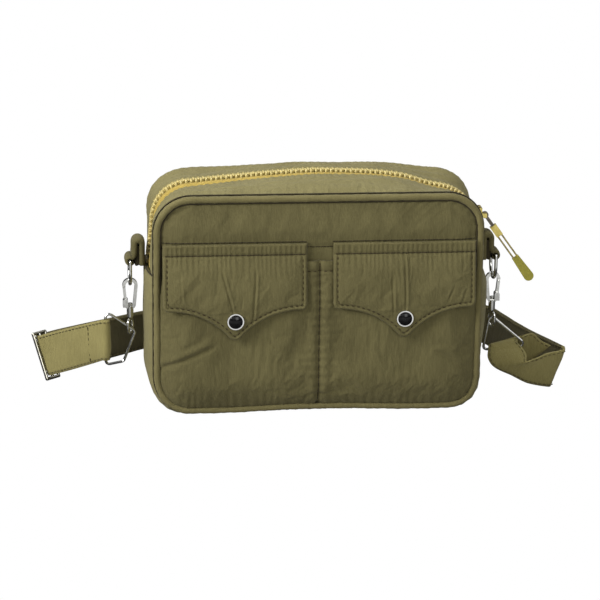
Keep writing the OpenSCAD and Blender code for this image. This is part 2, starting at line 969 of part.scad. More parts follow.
// Two triangles for each side of the tube between one ring and the next
function tube_faces(rings, sides, closed) = [
    for (i = [0:rings - (closed ? 1 : 2)], k = [0:sides - 1])
        let (
            a = i * sides + k,
            b = i * sides + (k + 1) % sides,
            c = ((i + 1) % rings) * sides + k,
            d = ((i + 1) % rings) * sides + (k + 1) % sides
        )
        each [[a, c, b], [b, c, d]]
];

// A wire ring that lies across the front, from points of [across, height]
module wire_ring(points) {
    sides = 10;
    line = rounded_loop(points, ring_bend_r, 5);
    n = len(line);
    rings = [
        for (i = [0:n - 1])
            let (
                t = unit(unit(line[(i + 1) % n] - line[i]) + unit(line[i] - line[(i + n - 1) % n])),
                out = [t[1], -t[0]]
            )
            for (k = [0:sides - 1])
                let (a = 360 * k / sides)
                [
                    line[i][0] + out[0] * strap_wire_r * cos(a),
                    strap_wire_r * sin(a),
                    line[i][1] + out[1] * strap_wire_r * cos(a)
                ]
    ];
    polyhedron(rings, tube_faces(n, sides, true));
}

module left_triangle_ring() {
    color(nickel) wire_ring(left_ring);
}

module right_triangle_ring() {
    color(nickel) mirror([1, 0, 0]) wire_ring([for (p = right_ring) [-p[0], p[1]]]);
}

// A flat band through stations of [middle, direction of its width, share of the strap's width].
// Its width is turned square to its run, or, on a slanted wrap, kept as given.
module ribbon(stations, square = true) {
    n = len(stations);
    corners = [
        for (i = [0:n - 1])
            let (
                p = stations[i][0],
                ahead = stations[min(i + 1, n - 1)][0],
                behind = stations[max(i - 1, 0)][0],
                in = i == 0 ? ahead - p : p - behind,
                out = i == n - 1 ? p - behind : ahead - p,
                run = unit(unit(in) + unit(out)),
                given = stations[i][1],
                wide = square ? unit(given - run * (given * run)) : given,
                thick = unit(cross(run, wide)) * strap_t / 2 / max(0.7, unit(in) * run),
                w = wide * stations[i][2] * strap_w / 2
            )
            each [p + w + thick, p - w + thick, p - w - thick, p + w - thick]
    ];
    last = 4 * n - 1;
    caps = [[0, 1, 2], [0, 2, 3], [last, last - 1, last - 2], [last, last - 2, last - 3]];
    polyhedron(corners, concat(tube_faces(n, 4, false), caps));
}

// The strap's left end: a sewn tail, round the ring's bar, out to the slider and round its middle bar
left_share = function (p) clamp01((p - [left_bar[0], 0]) * left_run / (left_run * left_run));
left_station = function (p) let (s = left_share(p)) [
    [p[0], p[1], mix(left_bar_z, slider_bar_z, s)],
    unit(mix([0, 0, 1], slider_lean, s)),
    1
];
left_tail_end = [left_bar[0], 0] + left_tail * unit(left_run)
    + tail_off * [sin(left_run_angle), -cos(left_run_angle)];
left_plan = concat(
    [left_tail_end],
    arc([left_bar[0], 0], wrap_r, left_run_angle - 90, left_run_angle - 270, 8),
    arc(slider_bar, wrap_r, left_run_angle + 90, back_run_angle + 90, 6)
);

module strap_left_end() {
    color(olive_light) ribbon([for (p = left_plan) left_station(p)], square = false);
}

// The long run: from the slider to the back, to and fro behind the purse, and out to the right
main_start = left_plan[len(left_plan) - 1];
main_end = right_fold + [0, 6];
main_far = right_fold + [-18, 52];
main_aim = unit(main_end - main_far);
back_turn = main_start + back_run_len * [cos(back_run_angle), sin(back_run_angle)];
main_plan = concat(
    [for (s = [0.004, 0.16, 0.4, 0.7, 1]) mix(main_start, back_turn, s)],
    [back_turn + [9, 4], back_turn + [19, -2], back_turn + [27, -15], [-run_half - 4, run_first_y + 3]],
    [for (i = [0:run_count - 2]) let (
            right = i % 2 == 0,
            c = [(right ? 1 : -1) * run_half, run_first_y + run_step * (i + 0.5)]
        )
        each arc(c, run_turn_r, right ? -90 : 270, 90, 8)],
    [[run_half + 22, run_last_y], [run_half + 46, run_last_y + 2], [run_half + 64, run_last_y + 3]],
    [[run_half + 79, run_last_y - 5], main_far, main_end]
);
// Where, going right, the strap comes upright after the slider, and where it leans over at the right
upright_from = main_start[0] + 12;
upright_len = 56;
lean_from = right_fold[0] - 40;
lean_len = 36;
right_lean = [0.38, 0, 0.92];
main_rise = function (p) clamp01((p[0] - upright_from) / upright_len);
main_tip = function (p) clamp01((p[0] - lean_from) / lean_len);

module strap_main() {
    color(olive_light) ribbon([
        for (p = main_plan) [
            [p[0], p[1], mix(slider_bar_z, strap_mid, main_rise(p))],
            unit(mix(slider_lean, [0, 0, 1], main_rise(p)) + main_tip(p) * (right_lean - [0, 0, 1])),
            1
        ]
    ]);
}

// The strap's right end, as pairs of points on its lower and its upper edge: from the fold at the corner it
// comes forward and to the left, bunches up, goes loosely over the ring's bar and back down behind it.
// Each pair is [lower, upper, share of a higher or lower ring that it follows], out from the ring's hang.
right_edges = [
    [[44, 1.2, 1.4], [55, 1, 29.6], 0],
    [[27.9, -3, 6], [41.4, -5.5, 29.2], 0.2],
    [[13.4, -6.5, 14.4], [31.4, -10.5, 26.8], 0.5],
    [[-0.1, -9, 22.4], [24.9, -11.5, 25], 0.8],
    [[-2.8, -7, 27.6], [25, -8.6, 29.6], 1],
    [[-2.2, -3.4, 31.6], [22.4, -3.8, 33.6], 1],
    [[-1.2, 0, 34.6], [20, 0, 35.8], 1],
    [[0, 3.2, 33.8], [21.2, 3.8, 37], 1],
    [[3.4, 4.6, 31], [31.4, 5.2, 41], 1],
    [[11.4, 5.4, 22.5], [38.9, 6.4, 35], 0.7],
    [[21.4, 5.6, 12.5], [45.9, 7, 31], 0.4]
];
// Height of the ring's seat for which the pairs are given
right_edges_seat = 51.8;
right_shift = function (share) [hang_x, 0, share * (ring_seat - right_edges_seat)];
// Places along the straight bit before the fold, where the width is square to the run
right_lead = [main_end + 0.8 * main_aim, main_end + 2.4 * main_aim, right_fold + [0.4, 1]];
main_run = [main_aim[0], main_aim[1], 0];
lead_wide = unit(right_lean - main_run * (right_lean * main_run));
right_stations = concat(
    [for (p = right_lead) [[p[0], p[1], strap_mid], lead_wide, 1]],
    [for (e = right_edges)
        [mix(e[0], e[1], 0.5) + right_shift(e[2]), unit(e[1] - e[0]), norm(e[1] - e[0]) / strap_w]]
);

module strap_right_end() {
    color(olive_light) ribbon(right_stations, square = false);
}

// The slider's own axes: along the back run, out of it, and along its bars
slider_up = unit(slider_lean);
back_run = [cos(back_run_angle), sin(back_run_angle), 0];
slider_along = unit(back_run - slider_up * (slider_up * back_run));
slider_out = cross(slider_up, slider_along);
slider_frame = [
    [slider_along[0], slider_out[0], slider_up[0], 0],
    [slider_along[1], slider_out[1], slider_up[1], 0],
    [slider_along[2], slider_out[2], slider_up[2], 0],
    [0, 0, 0, 1]
];

// A wire frame with a middle bar, flat against the back run
module strap_slider() {
    color(nickel) translate([slider_bar[0], slider_bar[1], slider_bar_z])
        multmatrix(slider_frame) {
            for (place = [-1, 0, 1]) {
                translate([place * slider_bar_gap, 0, 0])
                    cylinder(r = slider_wire_r, h = 2 * slider_half_len, center = true);
            }
            for (place = [-1, 1], end = [-1, 1]) {
                translate([place * slider_bar_gap, 0, end * slider_half_len]) sphere(slider_wire_r);
            }
            for (end = [-1, 1]) {
                translate([0, 0, end * slider_half_len]) rotate([0, 90, 0])
                    cylinder(r = slider_wire_r, h = 2 * slider_bar_gap, center = true);
            }
        }
}

front_panel();
back_panel();
front_wadding();
back_wadding();
lining();
lower_gusset();
zip_gusset_left();
zip_gusset_right();
front_piping();
back_piping();
pocket_panel();
flap_bands();
flap_left();
flap_right();
snap_rim_left();
snap_rim_right();
snap_cap_left();
snap_cap_right();
snap_socket_left();
snap_socket_right();
snap_studs();
snap_stud_backs();
front_top_strip();
rear_top_strip();
zip_tape_front();
zip_tape_rear();
zip_tape_left();
zip_tape_right();
zip_teeth_front();
zip_teeth_rear();
zip_teeth_left();
zip_teeth_right();
zip_stops();
zip_slider();
zip_pull_link();
zip_pull_clasp();
zip_pull_wires();
zip_pull_tag();
left_tab();
right_tab();
left_d_ring();
right_d_ring();
left_hook();
right_hook();
left_gate();
right_gate();
left_gate_pin();
right_gate_pin();
left_gate_spring();
right_gate_spring();
left_swivel_eye();
right_swivel_eye();
left_triangle_ring();
right_triangle_ring();
strap_left_end();
strap_main();
strap_right_end();
strap_slider();
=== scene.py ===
"""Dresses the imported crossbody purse: padded cloth, zip, strap and metal, with the photograph's view."""
import math
import bpy
import numpy as np
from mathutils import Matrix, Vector, noise
from mathutils.bvhtree import BVHTree


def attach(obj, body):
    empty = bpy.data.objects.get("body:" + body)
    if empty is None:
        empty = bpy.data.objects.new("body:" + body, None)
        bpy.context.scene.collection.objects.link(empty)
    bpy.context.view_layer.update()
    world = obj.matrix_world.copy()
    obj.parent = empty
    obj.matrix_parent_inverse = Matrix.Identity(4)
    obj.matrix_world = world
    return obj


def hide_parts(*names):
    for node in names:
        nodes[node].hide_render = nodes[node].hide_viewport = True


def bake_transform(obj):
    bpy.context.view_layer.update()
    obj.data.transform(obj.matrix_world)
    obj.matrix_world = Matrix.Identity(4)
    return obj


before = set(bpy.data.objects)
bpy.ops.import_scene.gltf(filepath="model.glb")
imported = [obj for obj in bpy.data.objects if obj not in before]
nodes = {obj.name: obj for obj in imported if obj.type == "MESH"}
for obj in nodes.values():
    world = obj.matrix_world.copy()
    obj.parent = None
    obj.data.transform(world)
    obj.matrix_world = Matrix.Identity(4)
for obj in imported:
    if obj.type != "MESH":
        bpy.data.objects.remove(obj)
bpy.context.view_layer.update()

# Sizes in millimetres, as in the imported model
MM = 0.001
HALF_W = 115.0
BOTTOM = 4.0
TOP = 158.0
CORNER_R = 26.0
CORNER_X = HALF_W - CORNER_R
LOW_Z = BOTTOM + CORNER_R
HIGH_Z = TOP - CORNER_R
EDGE = 35.3
PIPING_Y = 37.6
PIPING_R = 2.4
FACE = 39.0
BEFORE_FRONT = -60.0
PANEL_INSET = 3.6
POCKET_INSET = 4.4
LINING_INSET = 7.2
SEAM_Z = 100.0
STRIP_LAP = 2.6
RIGHT_SWELL = 2.8
ZIP_GAP = 5.0
ZIP_GAP_FRONT = 8.5
POCKET_TOP = 112.0
YOKE_Z = 121.5
HEM_Z = 104.8
FLAP_X = 59.0
FLAP_W = 100.0
FLAP_TOP = 125.0
FLAP_HINGE_Z = 117.0
FLAP_STITCH_IN = 3.0
FLAP_CORNER_Z = 79.0
FLAP_TIP_Z = 58.0
FLAP_FRONT = 50.2
SNAP_Z = 72.0
STRAP_W = 30.0
STRAP_T = 2.0


# Names and small maths

def side_name(side):
    return "right" if side > 0 else "left"


def row_name(front):
    return "front" if front else "rear"


def mix(a, b, s):
    return a + (b - a) * s


def smooth(low, high, x):
    t = np.clip((np.asarray(x, float) - low) / (high - low), 0, 1)
    return t * t * (3 - 2 * t)


def unit(v):
    v = np.asarray(v, float)
    return v / np.linalg.norm(v, axis=-1, keepdims=True)


def hump(x, middle, width):
    """One at the middle, falling softly to nought on both sides."""
    return np.exp(-((x - middle) / width) ** 2)


def fading(distance, reach):
    """One at a seam, falling off with the distance from it."""
    return np.exp(-distance / reach)


def lengths_along(line):
    """How far along a polyline each of its points lies."""
    return np.concatenate([[0], np.cumsum(np.linalg.norm(np.diff(line, axis=0), axis=1))])


def points_at(line, want):
    """Points at the wanted lengths along a polyline."""
    at = lengths_along(line)
    return np.stack([np.interp(want, at, line[:, k]) for k in range(line.shape[1])], axis=1)


def lumps(x, y, z, size, seed=0.0):
    """Smooth noise about zero, with lumps of that size in mm."""
    flat = zip(np.ravel(x) / size, np.ravel(y) / size, np.ravel(z) / size)
    values = [noise.noise(Vector((a + seed, b - seed, c + 2 * seed))) for a, b, c in flat]
    return np.array(values).reshape(np.shape(x))


def crease(x, z, start, end, width, depth):
    """A fold line between two points: a valley with a soft ridge on its upper side."""
    a, b = np.array(start, float), np.array(end, float)
    run = b - a
    length = np.linalg.norm(run)
    along = ((x - a[0]) * run[0] + (z - a[1]) * run[1]) / length
    across = ((z - a[1]) * run[0] - (x - a[0]) * run[1]) / length
    fade = smooth(-4, 6, along) * (1 - smooth(length - 6, length + 4, along))
    valley = hump(across, 0, width)
    ridge = hump(across, 2 * width, 1.4 * width)
    return depth * fade * (0.7 * ridge - valley)


def segment_distance(x, z, line):
    """Least distance from points to a polyline of [x, z]."""
    best = np.full(np.shape(x), 1e9)
    for p, q in zip(line[:-1], line[1:]):
        p, q = np.array(p, float), np.array(q, float)
        run = q - p
        t = np.clip(((x - p[0]) * run[0] + (z - p[1]) * run[1]) / max(run @ run, 1e-9), 0, 1)
        best = np.minimum(best, np.hypot(x - p[0] - t * run[0], z - p[1] - t * run[1]))
    return best


# Meshes

def make_object(name, points, faces, material):
    mesh = bpy.data.meshes.new(name)
    mesh.from_pydata((np.asarray(points, float) * MM).tolist(), [], faces)
    mesh.validate()
    mesh.update()
    mesh.polygons.foreach_set("use_smooth", [True] * len(mesh.polygons))
    mesh.materials.append(material)
    obj = bpy.data.objects.new(name, mesh)
    bpy.context.scene.collection.objects.link(obj)
    return obj


def grid_faces(rows, cols, base=0, close_rows=False, close_cols=False):
    faces = []
    for i in range(rows if close_rows else rows - 1):
        for j in range(cols if close_cols else cols - 1):
            here = base + i * cols
            above = base + (i + 1) % rows * cols
            right = (j + 1) % cols
            faces.append((here + j, here + right, above + right, above + j))
    return faces


def grid_normals(grid):
    return unit(np.cross(np.gradient(grid, axis=1), np.gradient(grid, axis=0)))


def thick_sheet(name, front, thickness, material, outward):
    """A closed sheet: the front grid, a back grid behind it, and a rim that joins them."""
    rows, cols = front.shape[:2]
    normals = grid_normals(front)
    facing = np.sum(normals * outward, axis=-1, keepdims=True)
    back = front - np.where(facing < 0, -normals, normals) * thickness
    points = np.concatenate([front.reshape(-1, 3), back.reshape(-1, 3)])
    count = rows * cols
    faces = grid_faces(rows, cols)
    faces += [tuple(reversed(f)) for f in grid_faces(rows, cols, count)]
    ring = list(range(cols))
    ring += [i * cols + cols - 1 for i in range(1, rows)]
    ring += [(rows - 1) * cols + j for j in range(cols - 2, -1, -1)]
    ring += [i * cols for i in range(rows - 2, 0, -1)]
    for a, b in zip(ring, ring[1:] + ring[:1]):
        faces.append((b, a, a + count, b + count))
    obj = make_object(name, points, faces, material)
    fix_normals(obj)
    return obj


def fix_normals(obj):
    bpy.context.view_layer.objects.active = obj
    obj.select_set(True)
    bpy.ops.object.mode_set(mode="EDIT")
    bpy.ops.mesh.select_all(action="SELECT")
    bpy.ops.mesh.normals_make_consistent(inside=False)
    bpy.ops.object.mode_set(mode="OBJECT")
    obj.select_set(False)


def ring_round(middle, radius, side, other, sides):
    """Points of a circle that lies along two directions."""
    angles = [2 * math.pi * k / sides for k in range(sides)]
    return [middle + radius * (math.cos(a) * side + math.sin(a) * other) for a in angles]


def tube(name, line, radius, sides, material, closed=False):
    """A round tube along points, with its frame carried along so that it doesn't twist."""
    line = np.asarray(line, float)
    count = len(line)
    radius = np.broadcast_to(radius, (count,))
    ahead = np.roll(line, -1, axis=0) - line
    behind = line - np.roll(line, 1, axis=0)
    if not closed:
        ahead[-1] = behind[-1]
        behind[0] = ahead[0]
    run = unit(ahead + behind)
    side = unit(np.cross(run[0], [0.3, 0.2, 0.93]))
    rings = []
    for i in range(count):
        side = unit(side - run[i] * (side @ run[i]))
        rings += ring_round(line[i], radius[i], side, np.cross(run[i], side), sides)
    faces = grid_faces(count, sides, close_rows=closed, close_cols=True)
    if not closed:
        faces.append(tuple(range(sides)))
        faces.append(tuple(reversed(range((count - 1) * sides, count * sides))))
    obj = make_object(name, rings, faces, material)
    fix_normals(obj)
    return obj


def resample(line, step):
    """Points along a polyline at an even step."""
    line = np.asarray(line, float)
    total = lengths_along(line)[-1]
    count = max(2, int(round(total / step)) + 1)
    return points_at(line, np.linspace(0, total, count))


def rounded(line, steps):
    """A smooth curve through points, that doesn't swing out where a long step meets a short one."""
    p = np.asarray(line, float)
    step = np.diff(p, axis=0)
    length = np.linalg.norm(step, axis=1, keepdims=True)
    aim = step / length
    bend = (aim[:-1] + aim[1:]) / 2 * np.minimum(length[:-1], length[1:])
    slope = np.concatenate([step[:1], bend, step[-1:]])
    out = []
    for i in range(len(step)):
        for t in np.arange(steps) / steps:
            along = mix(p[i], p[i + 1], t * t * (3 - 2 * t))
            out.append(along + slope[i] * t * (1 - t) ** 2 - slope[i + 1] * t * t * (1 - t))
    out.append(p[-1])
    return np.array(out)


def surface_of(obj):
    """What stitches are laid on: a search tree of an object's mesh, in mm."""
    mesh = obj.data
    points = [v.co / MM for v in mesh.vertices]
    return BVHTree.FromPolygons(points, [tuple(p.vertices) for p in mesh.polygons])


# A stitch, point by point: its lift off the cloth, its thickness as a share, and the sides of its section
STITCH_LIFT = (-0.25, 0.1, 0.2, 0.1, -0.25)
STITCH_TAPER = (0.5, 0.95, 1, 0.95, 0.5)
STITCH_SIDES = 5
CAST_FROM = 20.0


def stitches(name, line, material, tree=None, cast=(0, 1, 0), length=2.5, gap=1.3, radius=0.4):
    """A row of thread stitches along points, dropped on to a surface along a direction."""
    line = resample(line, 0.4)
    count, sides = len(STITCH_TAPER), STITCH_SIDES
    points, faces = [], []
    for start in np.arange(0.4, lengths_along(line)[-1] - length, length + gap):
        path = points_at(line, np.linspace(start, start + length, count))
        if tree is not None:
            hits = [tree.ray_cast(Vector(p - CAST_FROM * np.array(cast, float)), Vector(cast)) for p in path]
            if any(h[0] is None for h in hits):
                continue
            path = np.array([np.array(h[0]) - np.array(cast) * k for h, k in zip(hits, STITCH_LIFT)])
        run = unit(path[-1] - path[0])
        side = unit(np.cross(run, [0.31, 0.2, 0.93]))
        base = len(points)
        for p, share in zip(path, STITCH_TAPER):
            points += ring_round(p, radius * share, side, np.cross(run, side), sides)
        faces += grid_faces(count, sides, base, close_cols=True)
        faces.append(tuple(base + k for k in range(sides)))
        faces.append(tuple(base + (count - 1) * sides + k for k in reversed(range(sides))))
    return make_object(name, points, faces, material)


def seam_line(name, line, tree, cast=(0, 1, 0)):
    """A dark line of painted shadow where a seam pulls the cloth in."""
    return stitches(name, line, PAINTED_SEAM_SHADOW, tree, cast, length=2.4, gap=-0.4, radius=0.34)


# Cloth that settles: a grid grows a little between its sewn lines, so it buckles as padded cotton does

def settle(grid, sewn, grow, pressure, frames=14, cap=2.2):
    """The grid after a short cloth run, with no point moved further than the cap in mm."""
    rows, cols = grid.shape[:2]
    mesh = bpy.data.meshes.new("settling")
    mesh.from_pydata((grid.reshape(-1, 3) * MM).tolist(), [], grid_faces(rows, cols))
    obj = bpy.data.objects.new("settling", mesh)
    bpy.context.scene.collection.objects.link(obj)
    pins = obj.vertex_groups.new(name="sewn")
    for index, weight in enumerate(np.ravel(sewn)):
        pins.add([index], float(weight), "REPLACE")
    cloth_of = obj.modifiers.new("cloth", "CLOTH")
    rules = cloth_of.settings
    rules.quality = 6
    rules.mass = 0.25
    rules.tension_stiffness = 25
    rules.compression_stiffness = 25
    rules.shear_stiffness = 8
    rules.bending_stiffness = 0.12
    rules.vertex_group_mass = "sewn"
    rules.shrink_min = -grow
    rules.use_pressure = True
    rules.uniform_pressure_force = pressure
    rules.effector_weights.gravity = 0
    cloth_of.collision_settings.use_collision = False
    scene = bpy.context.scene
    for number in range(1, frames + 1):
        scene.frame_set(number)
    found = obj.evaluated_get(bpy.context.evaluated_depsgraph_get()).data
    out = np.empty(rows * cols * 3)
    found.vertices.foreach_get("co", out)
    scene.frame_set(1)
    bpy.data.objects.remove(obj)
    moved = out.reshape(rows, cols, 3) / MM - grid
    size = np.linalg.norm(moved, axis=-1, keepdims=True)
    return grid + moved * np.minimum(1, cap / np.maximum(size, 1e-6))


def refine(grid):
    """Twice as fine a grid, with smooth midpoints."""
    for axis in (0, 1):
        rows = np.moveaxis(grid, axis, 0)
        padded = np.concatenate([2 * rows[:1] - rows[1:2], rows, 2 * rows[-1:] - rows[-2:-1]])
        between = (9 * (padded[1:-2] + padded[2:-1]) - padded[:-3] - padded[3:]) / 16
        finer = np.empty((2 * len(rows) - 1, *rows.shape[1:]))
        finer[::2] = rows
        finer[1::2] = between
        grid = np.moveaxis(finer, 0, axis)
    return grid


def sewn_lines(*gaps):
    """Pin weights: firm where any gap to a sewn line, in mm, is small."""
    held = np.zeros(np.shape(gaps[0]))
    for gap in gaps:
        held = np.maximum(held, 1 - smooth(0.6, 2.6, np.abs(gap)))
    return held


# Materials

def new_material(name):
    material = bpy.data.materials.new(name)
    material.use_nodes = True
    shader = material.node_tree.nodes["Principled BSDF"]
    return material, material.node_tree, shader


def add(tree, kind, **values):
    node = tree.nodes.new(kind)
    for key, value in values.items():
        if key in node.inputs:
            node.inputs[key].default_value = value
        else:
            setattr(node, key, value)
    return node


def scaled_noise(tree, scale, size, detail=3.0, rough=0.55):
    """Noise over the object's own coordinates, stretched by a scale for each axis."""
    place = add(tree, "ShaderNodeTexCoord")
    stretch = add(tree, "ShaderNodeMapping", Scale=scale)
    speckle = add(tree, "ShaderNodeTexNoise", Scale=size, Detail=detail, Roughness=rough)
    tree.links.new(place.outputs["Object"], stretch.inputs["Vector"])
    tree.links.new(stretch.outputs["Vector"], speckle.inputs["Vector"])
    return speckle.outputs["Fac"]


def blend_factor(tree, first, second, share):
    node = add(tree, "ShaderNodeMix", data_type="FLOAT")
    node.inputs[0].default_value = share
    tree.links.new(first, node.inputs[2])
    tree.links.new(second, node.inputs[3])
    return node.outputs[0]


def ramp(tree, factor, stops):
    node = add(tree, "ShaderNodeValToRGB")
    while len(node.color_ramp.elements) < len(stops):
        node.color_ramp.elements.new(0.5)
    for element, (place, colour) in zip(node.color_ramp.elements, stops):
        element.position = place
        element.color = (*colour, 1)
    tree.links.new(factor, node.inputs["Fac"])
    return node.outputs["Color"]


def bump(tree, height, distance, strength, under=None):
    node = add(tree, "ShaderNodeBump", Distance=distance, Strength=strength)
    tree.links.new(height, node.inputs["Height"])
    if under is not None:
        tree.links.new(under, node.inputs["Normal"])
    return node.outputs["Normal"]


def cloth(name, dark, light, rough=0.88, crinkle=0.5, sheen=0.04):
    """Peached cotton: long slubs, a fine weave, and small crinkles that the bump brings out."""
    material, tree, shader = new_material(name)
    slubs = scaled_noise(tree, (1500, 1500, 110), 1.0, 3.0, 0.6)
    patches = scaled_noise(tree, (1, 1, 1), 38.0, 3.0, 0.5)
    weave = scaled_noise(tree, (1, 1, 1), 2600.0, 2.0, 0.7)
    tone = blend_factor(tree, blend_factor(tree, slubs, patches, 0.4), weave, 0.3)
    middle = tuple(mix(a, b, 0.5) for a, b in zip(dark, light))
    colour = ramp(tree, tone, [(0.32, dark), (0.5, middle), (0.68, light)])
    tree.links.new(colour, shader.inputs["Base Color"])
    folds = scaled_noise(tree, (260, 260, 90), 1.0, 4.0, 0.65)
    normal = bump(tree, folds, 0.0016, crinkle)
    normal = bump(tree, weave, 0.0003, 0.5, normal)
    tree.links.new(normal, shader.inputs["Normal"])
    shader.inputs["Roughness"].default_value = rough
    shader.inputs["Specular IOR Level"].default_value = 0.25
    shader.inputs["Sheen Weight"].default_value = sheen
    shader.inputs["Sheen Roughness"].default_value = 0.5
    return material


def metal(name, dark, light, rough, scratch=260.0):
    """Plated metal with faint handling marks."""
    material, tree, shader = new_material(name)
    marks = scaled_noise(tree, (1, 1, 1), scratch, 4.0, 0.6)
    tree.links.new(ramp(tree, marks, [(0.35, dark), (0.62, light)]), shader.inputs["Base Color"])
    spread = add(tree, "ShaderNodeMapRange")
    spread.inputs["To Min"].default_value = rough * 0.7
    spread.inputs["To Max"].default_value = rough * 1.4
    tree.links.new(marks, spread.inputs["Value"])
    tree.links.new(spread.outputs["Result"], shader.inputs["Roughness"])
    shader.inputs["Metallic"].default_value = 1.0
    return material


def moulded(name, dark, light, rough, grain=700.0, depth=0.0001, specular=0.5):
    """Moulded plastic, rubber or enamel with a fine grain."""
    material, tree, shader = new_material(name)
    speck = scaled_noise(tree, (1, 1, 1), grain, 3.0, 0.6)
    tree.links.new(ramp(tree, speck, [(0.35, dark), (0.65, light)]), shader.inputs["Base Color"])
    tree.links.new(bump(tree, speck, depth, 0.5), shader.inputs["Normal"])
    shader.inputs["Roughness"].default_value = rough
    shader.inputs["Specular IOR Level"].default_value = specular
    return material


OLIVE = cloth("olive_cloth", (0.066, 0.0562, 0.0198), (0.118, 0.1030, 0.0405), crinkle=0.4)
# Painted shadow: near-black cloth for the dark lines and sheets that stand for shade in seams, grooves and
# folds.
PAINTED_SEAM_SHADOW = cloth("seam_shadow", (0.014, 0.0105, 0.0035), (0.034, 0.027, 0.010), crinkle=0.1)
# Painted light: a lighter copy of the olive cloth for the gussets and zip strips, which face the lamps more.
OLIVE_SIDE_PAINTED_LIGHT = cloth("olive_cloth_gusset_painted_light", (0.112, 0.0965, 0.037), (0.195, 0.172, 0.072), crinkle=0.6)
OLIVE_STRAP = cloth("olive_cloth_strap", (0.143, 0.122, 0.041), (0.226, 0.197, 0.074), crinkle=0.35)
# Painted shade: a darker copy of the strap cloth for the long strap, which lies in the bag's shadow.
STRAP_PAINTED_SHADE = cloth("olive_cloth_strap_painted_shade", (0.052, 0.044, 0.017), (0.092, 0.080, 0.034), crinkle=0.35)
# Painted shade: a darker copy of the olive cloth for the tabs, which sit in shade.
OLIVE_TAB_PAINTED_SHADE = cloth("olive_cloth_tab_painted_shade", (0.062, 0.053, 0.019), (0.112, 0.097, 0.038), crinkle=0.3)
PIPING = cloth("olive_cloth_piping", (0.094, 0.080, 0.029), (0.155, 0.134, 0.054), crinkle=0.4)
THREAD = cloth("olive_thread", (0.020, 0.014, 0.004), (0.050, 0.036, 0.012), crinkle=0.1)
STRAP_THREAD = cloth("strap_thread", (0.06, 0.050, 0.016), (0.11, 0.092, 0.034), crinkle=0.1)
LINING = cloth("lining_cloth", (0.05, 0.045, 0.035), (0.10, 0.09, 0.07))
TAPE = cloth("zip_tape", (0.26, 0.185, 0.035), (0.38, 0.28, 0.065), crinkle=0.15)
RESIN = moulded("zip_resin", (0.34, 0.27, 0.085), (0.50, 0.41, 0.15), 0.4)
NICKEL = metal("nickel", (0.50, 0.50, 0.47), (0.68, 0.68, 0.65), 0.14)
# Painted shade: a darker copy of the nickel for the strap slider, standing for the dark strap it mirrors.
NICKEL_PAINTED_SHADE = metal("nickel_painted_shade", (0.24, 0.23, 0.19), (0.38, 0.37, 0.32), 0.2)
BRIGHT_RIM = metal("bright_rim", (0.74, 0.74, 0.72), (0.90, 0.90, 0.88), 0.14)
GOLD = metal("gold_plate", (0.50, 0.40, 0.10), (0.70, 0.58, 0.19), 0.22)
DARK_METAL = metal("dark_metal", (0.10, 0.09, 0.07), (0.17, 0.15, 0.12), 0.35)
ENAMEL = moulded("black_enamel", (0.004, 0.004, 0.004), (0.010, 0.010, 0.010), 0.08, 400.0, 0.00002, 0.16)
RUBBER = moulded("mustard_rubber", (0.30, 0.27, 0.022), (0.38, 0.34, 0.035), 0.45)


# The line that the piping's outer edge follows, measured from the middle of the bottom, towards +X

def outline_table(inset=0.0):
    r = CORNER_R - inset
    pieces = []
    right = [(CORNER_X, LOW_Z, -90), (CORNER_X, HIGH_Z, 0)]
    left = [(-CORNER_X, HIGH_Z, 90), (-CORNER_X, LOW_Z, 180)]
    pieces.append((0.0, BOTTOM + inset, 0.0, -1.0))
    for cx, cz, start in right + left:
        for a in np.radians(np.linspace(start, start + 90, 46)):
            pieces.append((cx + r * math.cos(a), cz + r * math.sin(a), math.cos(a), math.sin(a)))
    pieces.append((0.0, BOTTOM + inset, 0.0, -1.0))
    table = np.array(pieces)
    return lengths_along(table[:, :2]), table


LOOP_AT, LOOP = outline_table()
LOOP_LEN = LOOP_AT[-1]
RIGHT_SEAM_S = float(np.interp(SEAM_Z, LOOP[40:60, 1], LOOP_AT[40:60]))
TOP_MID_S = LOOP_LEN / 2
LEFT_SEAM_S = LOOP_LEN - RIGHT_SEAM_S


def slump(points):
    """The padded front sinks on to the table: most at the two lower corners."""
    x, y, z = np.moveaxis(points, -1, 0)
    share = smooth(40, 5, z) * smooth(0, 34, -y) * (0.5 + 0.5 * smooth(10, 70, np.abs(x)))
    right = np.maximum(x - CORNER_X, 0)
    down = np.maximum(LOW_Z - z, 0)
    reach = np.maximum(np.hypot(right, down), 1e-6)
    push = 0.09 * smooth(8, 24, reach) * (2 * right * down / reach ** 2) ** 2
    return np.stack([x + right * push, y, z - 3.2 * share - down * push], axis=-1)


def on_loop(s, depth, out):
    """The point at a length along the loop, a depth towards the front, and a distance outwards."""
    s = np.mod(s, LOOP_LEN)
    x, z, nx, nz = (np.interp(s, LOOP_AT, LOOP[:, k]) for k in range(4))
    return np.stack([x + out * nx, -depth + 0 * x, z + out * nz], axis=-1)


def loop_outward(s, depth):
    return on_loop(s, depth, 1.0) - on_loop(s, depth, 0.0)


# Gusset

def padded_cloth(obj, fill, *replaced):
    """Hides the nodes that an object stands for."""
    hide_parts(*replaced)


def seam_puckers(s, near_edge, size=6.5, height=0.55):
    """Small gathers square to a seam."""
    phase = 2.2 * lumps(s, 0 * s, 0 * s, 17.0, 3.0)
    return height * np.sin(2 * math.pi * s / size + phase * 2) * near_edge


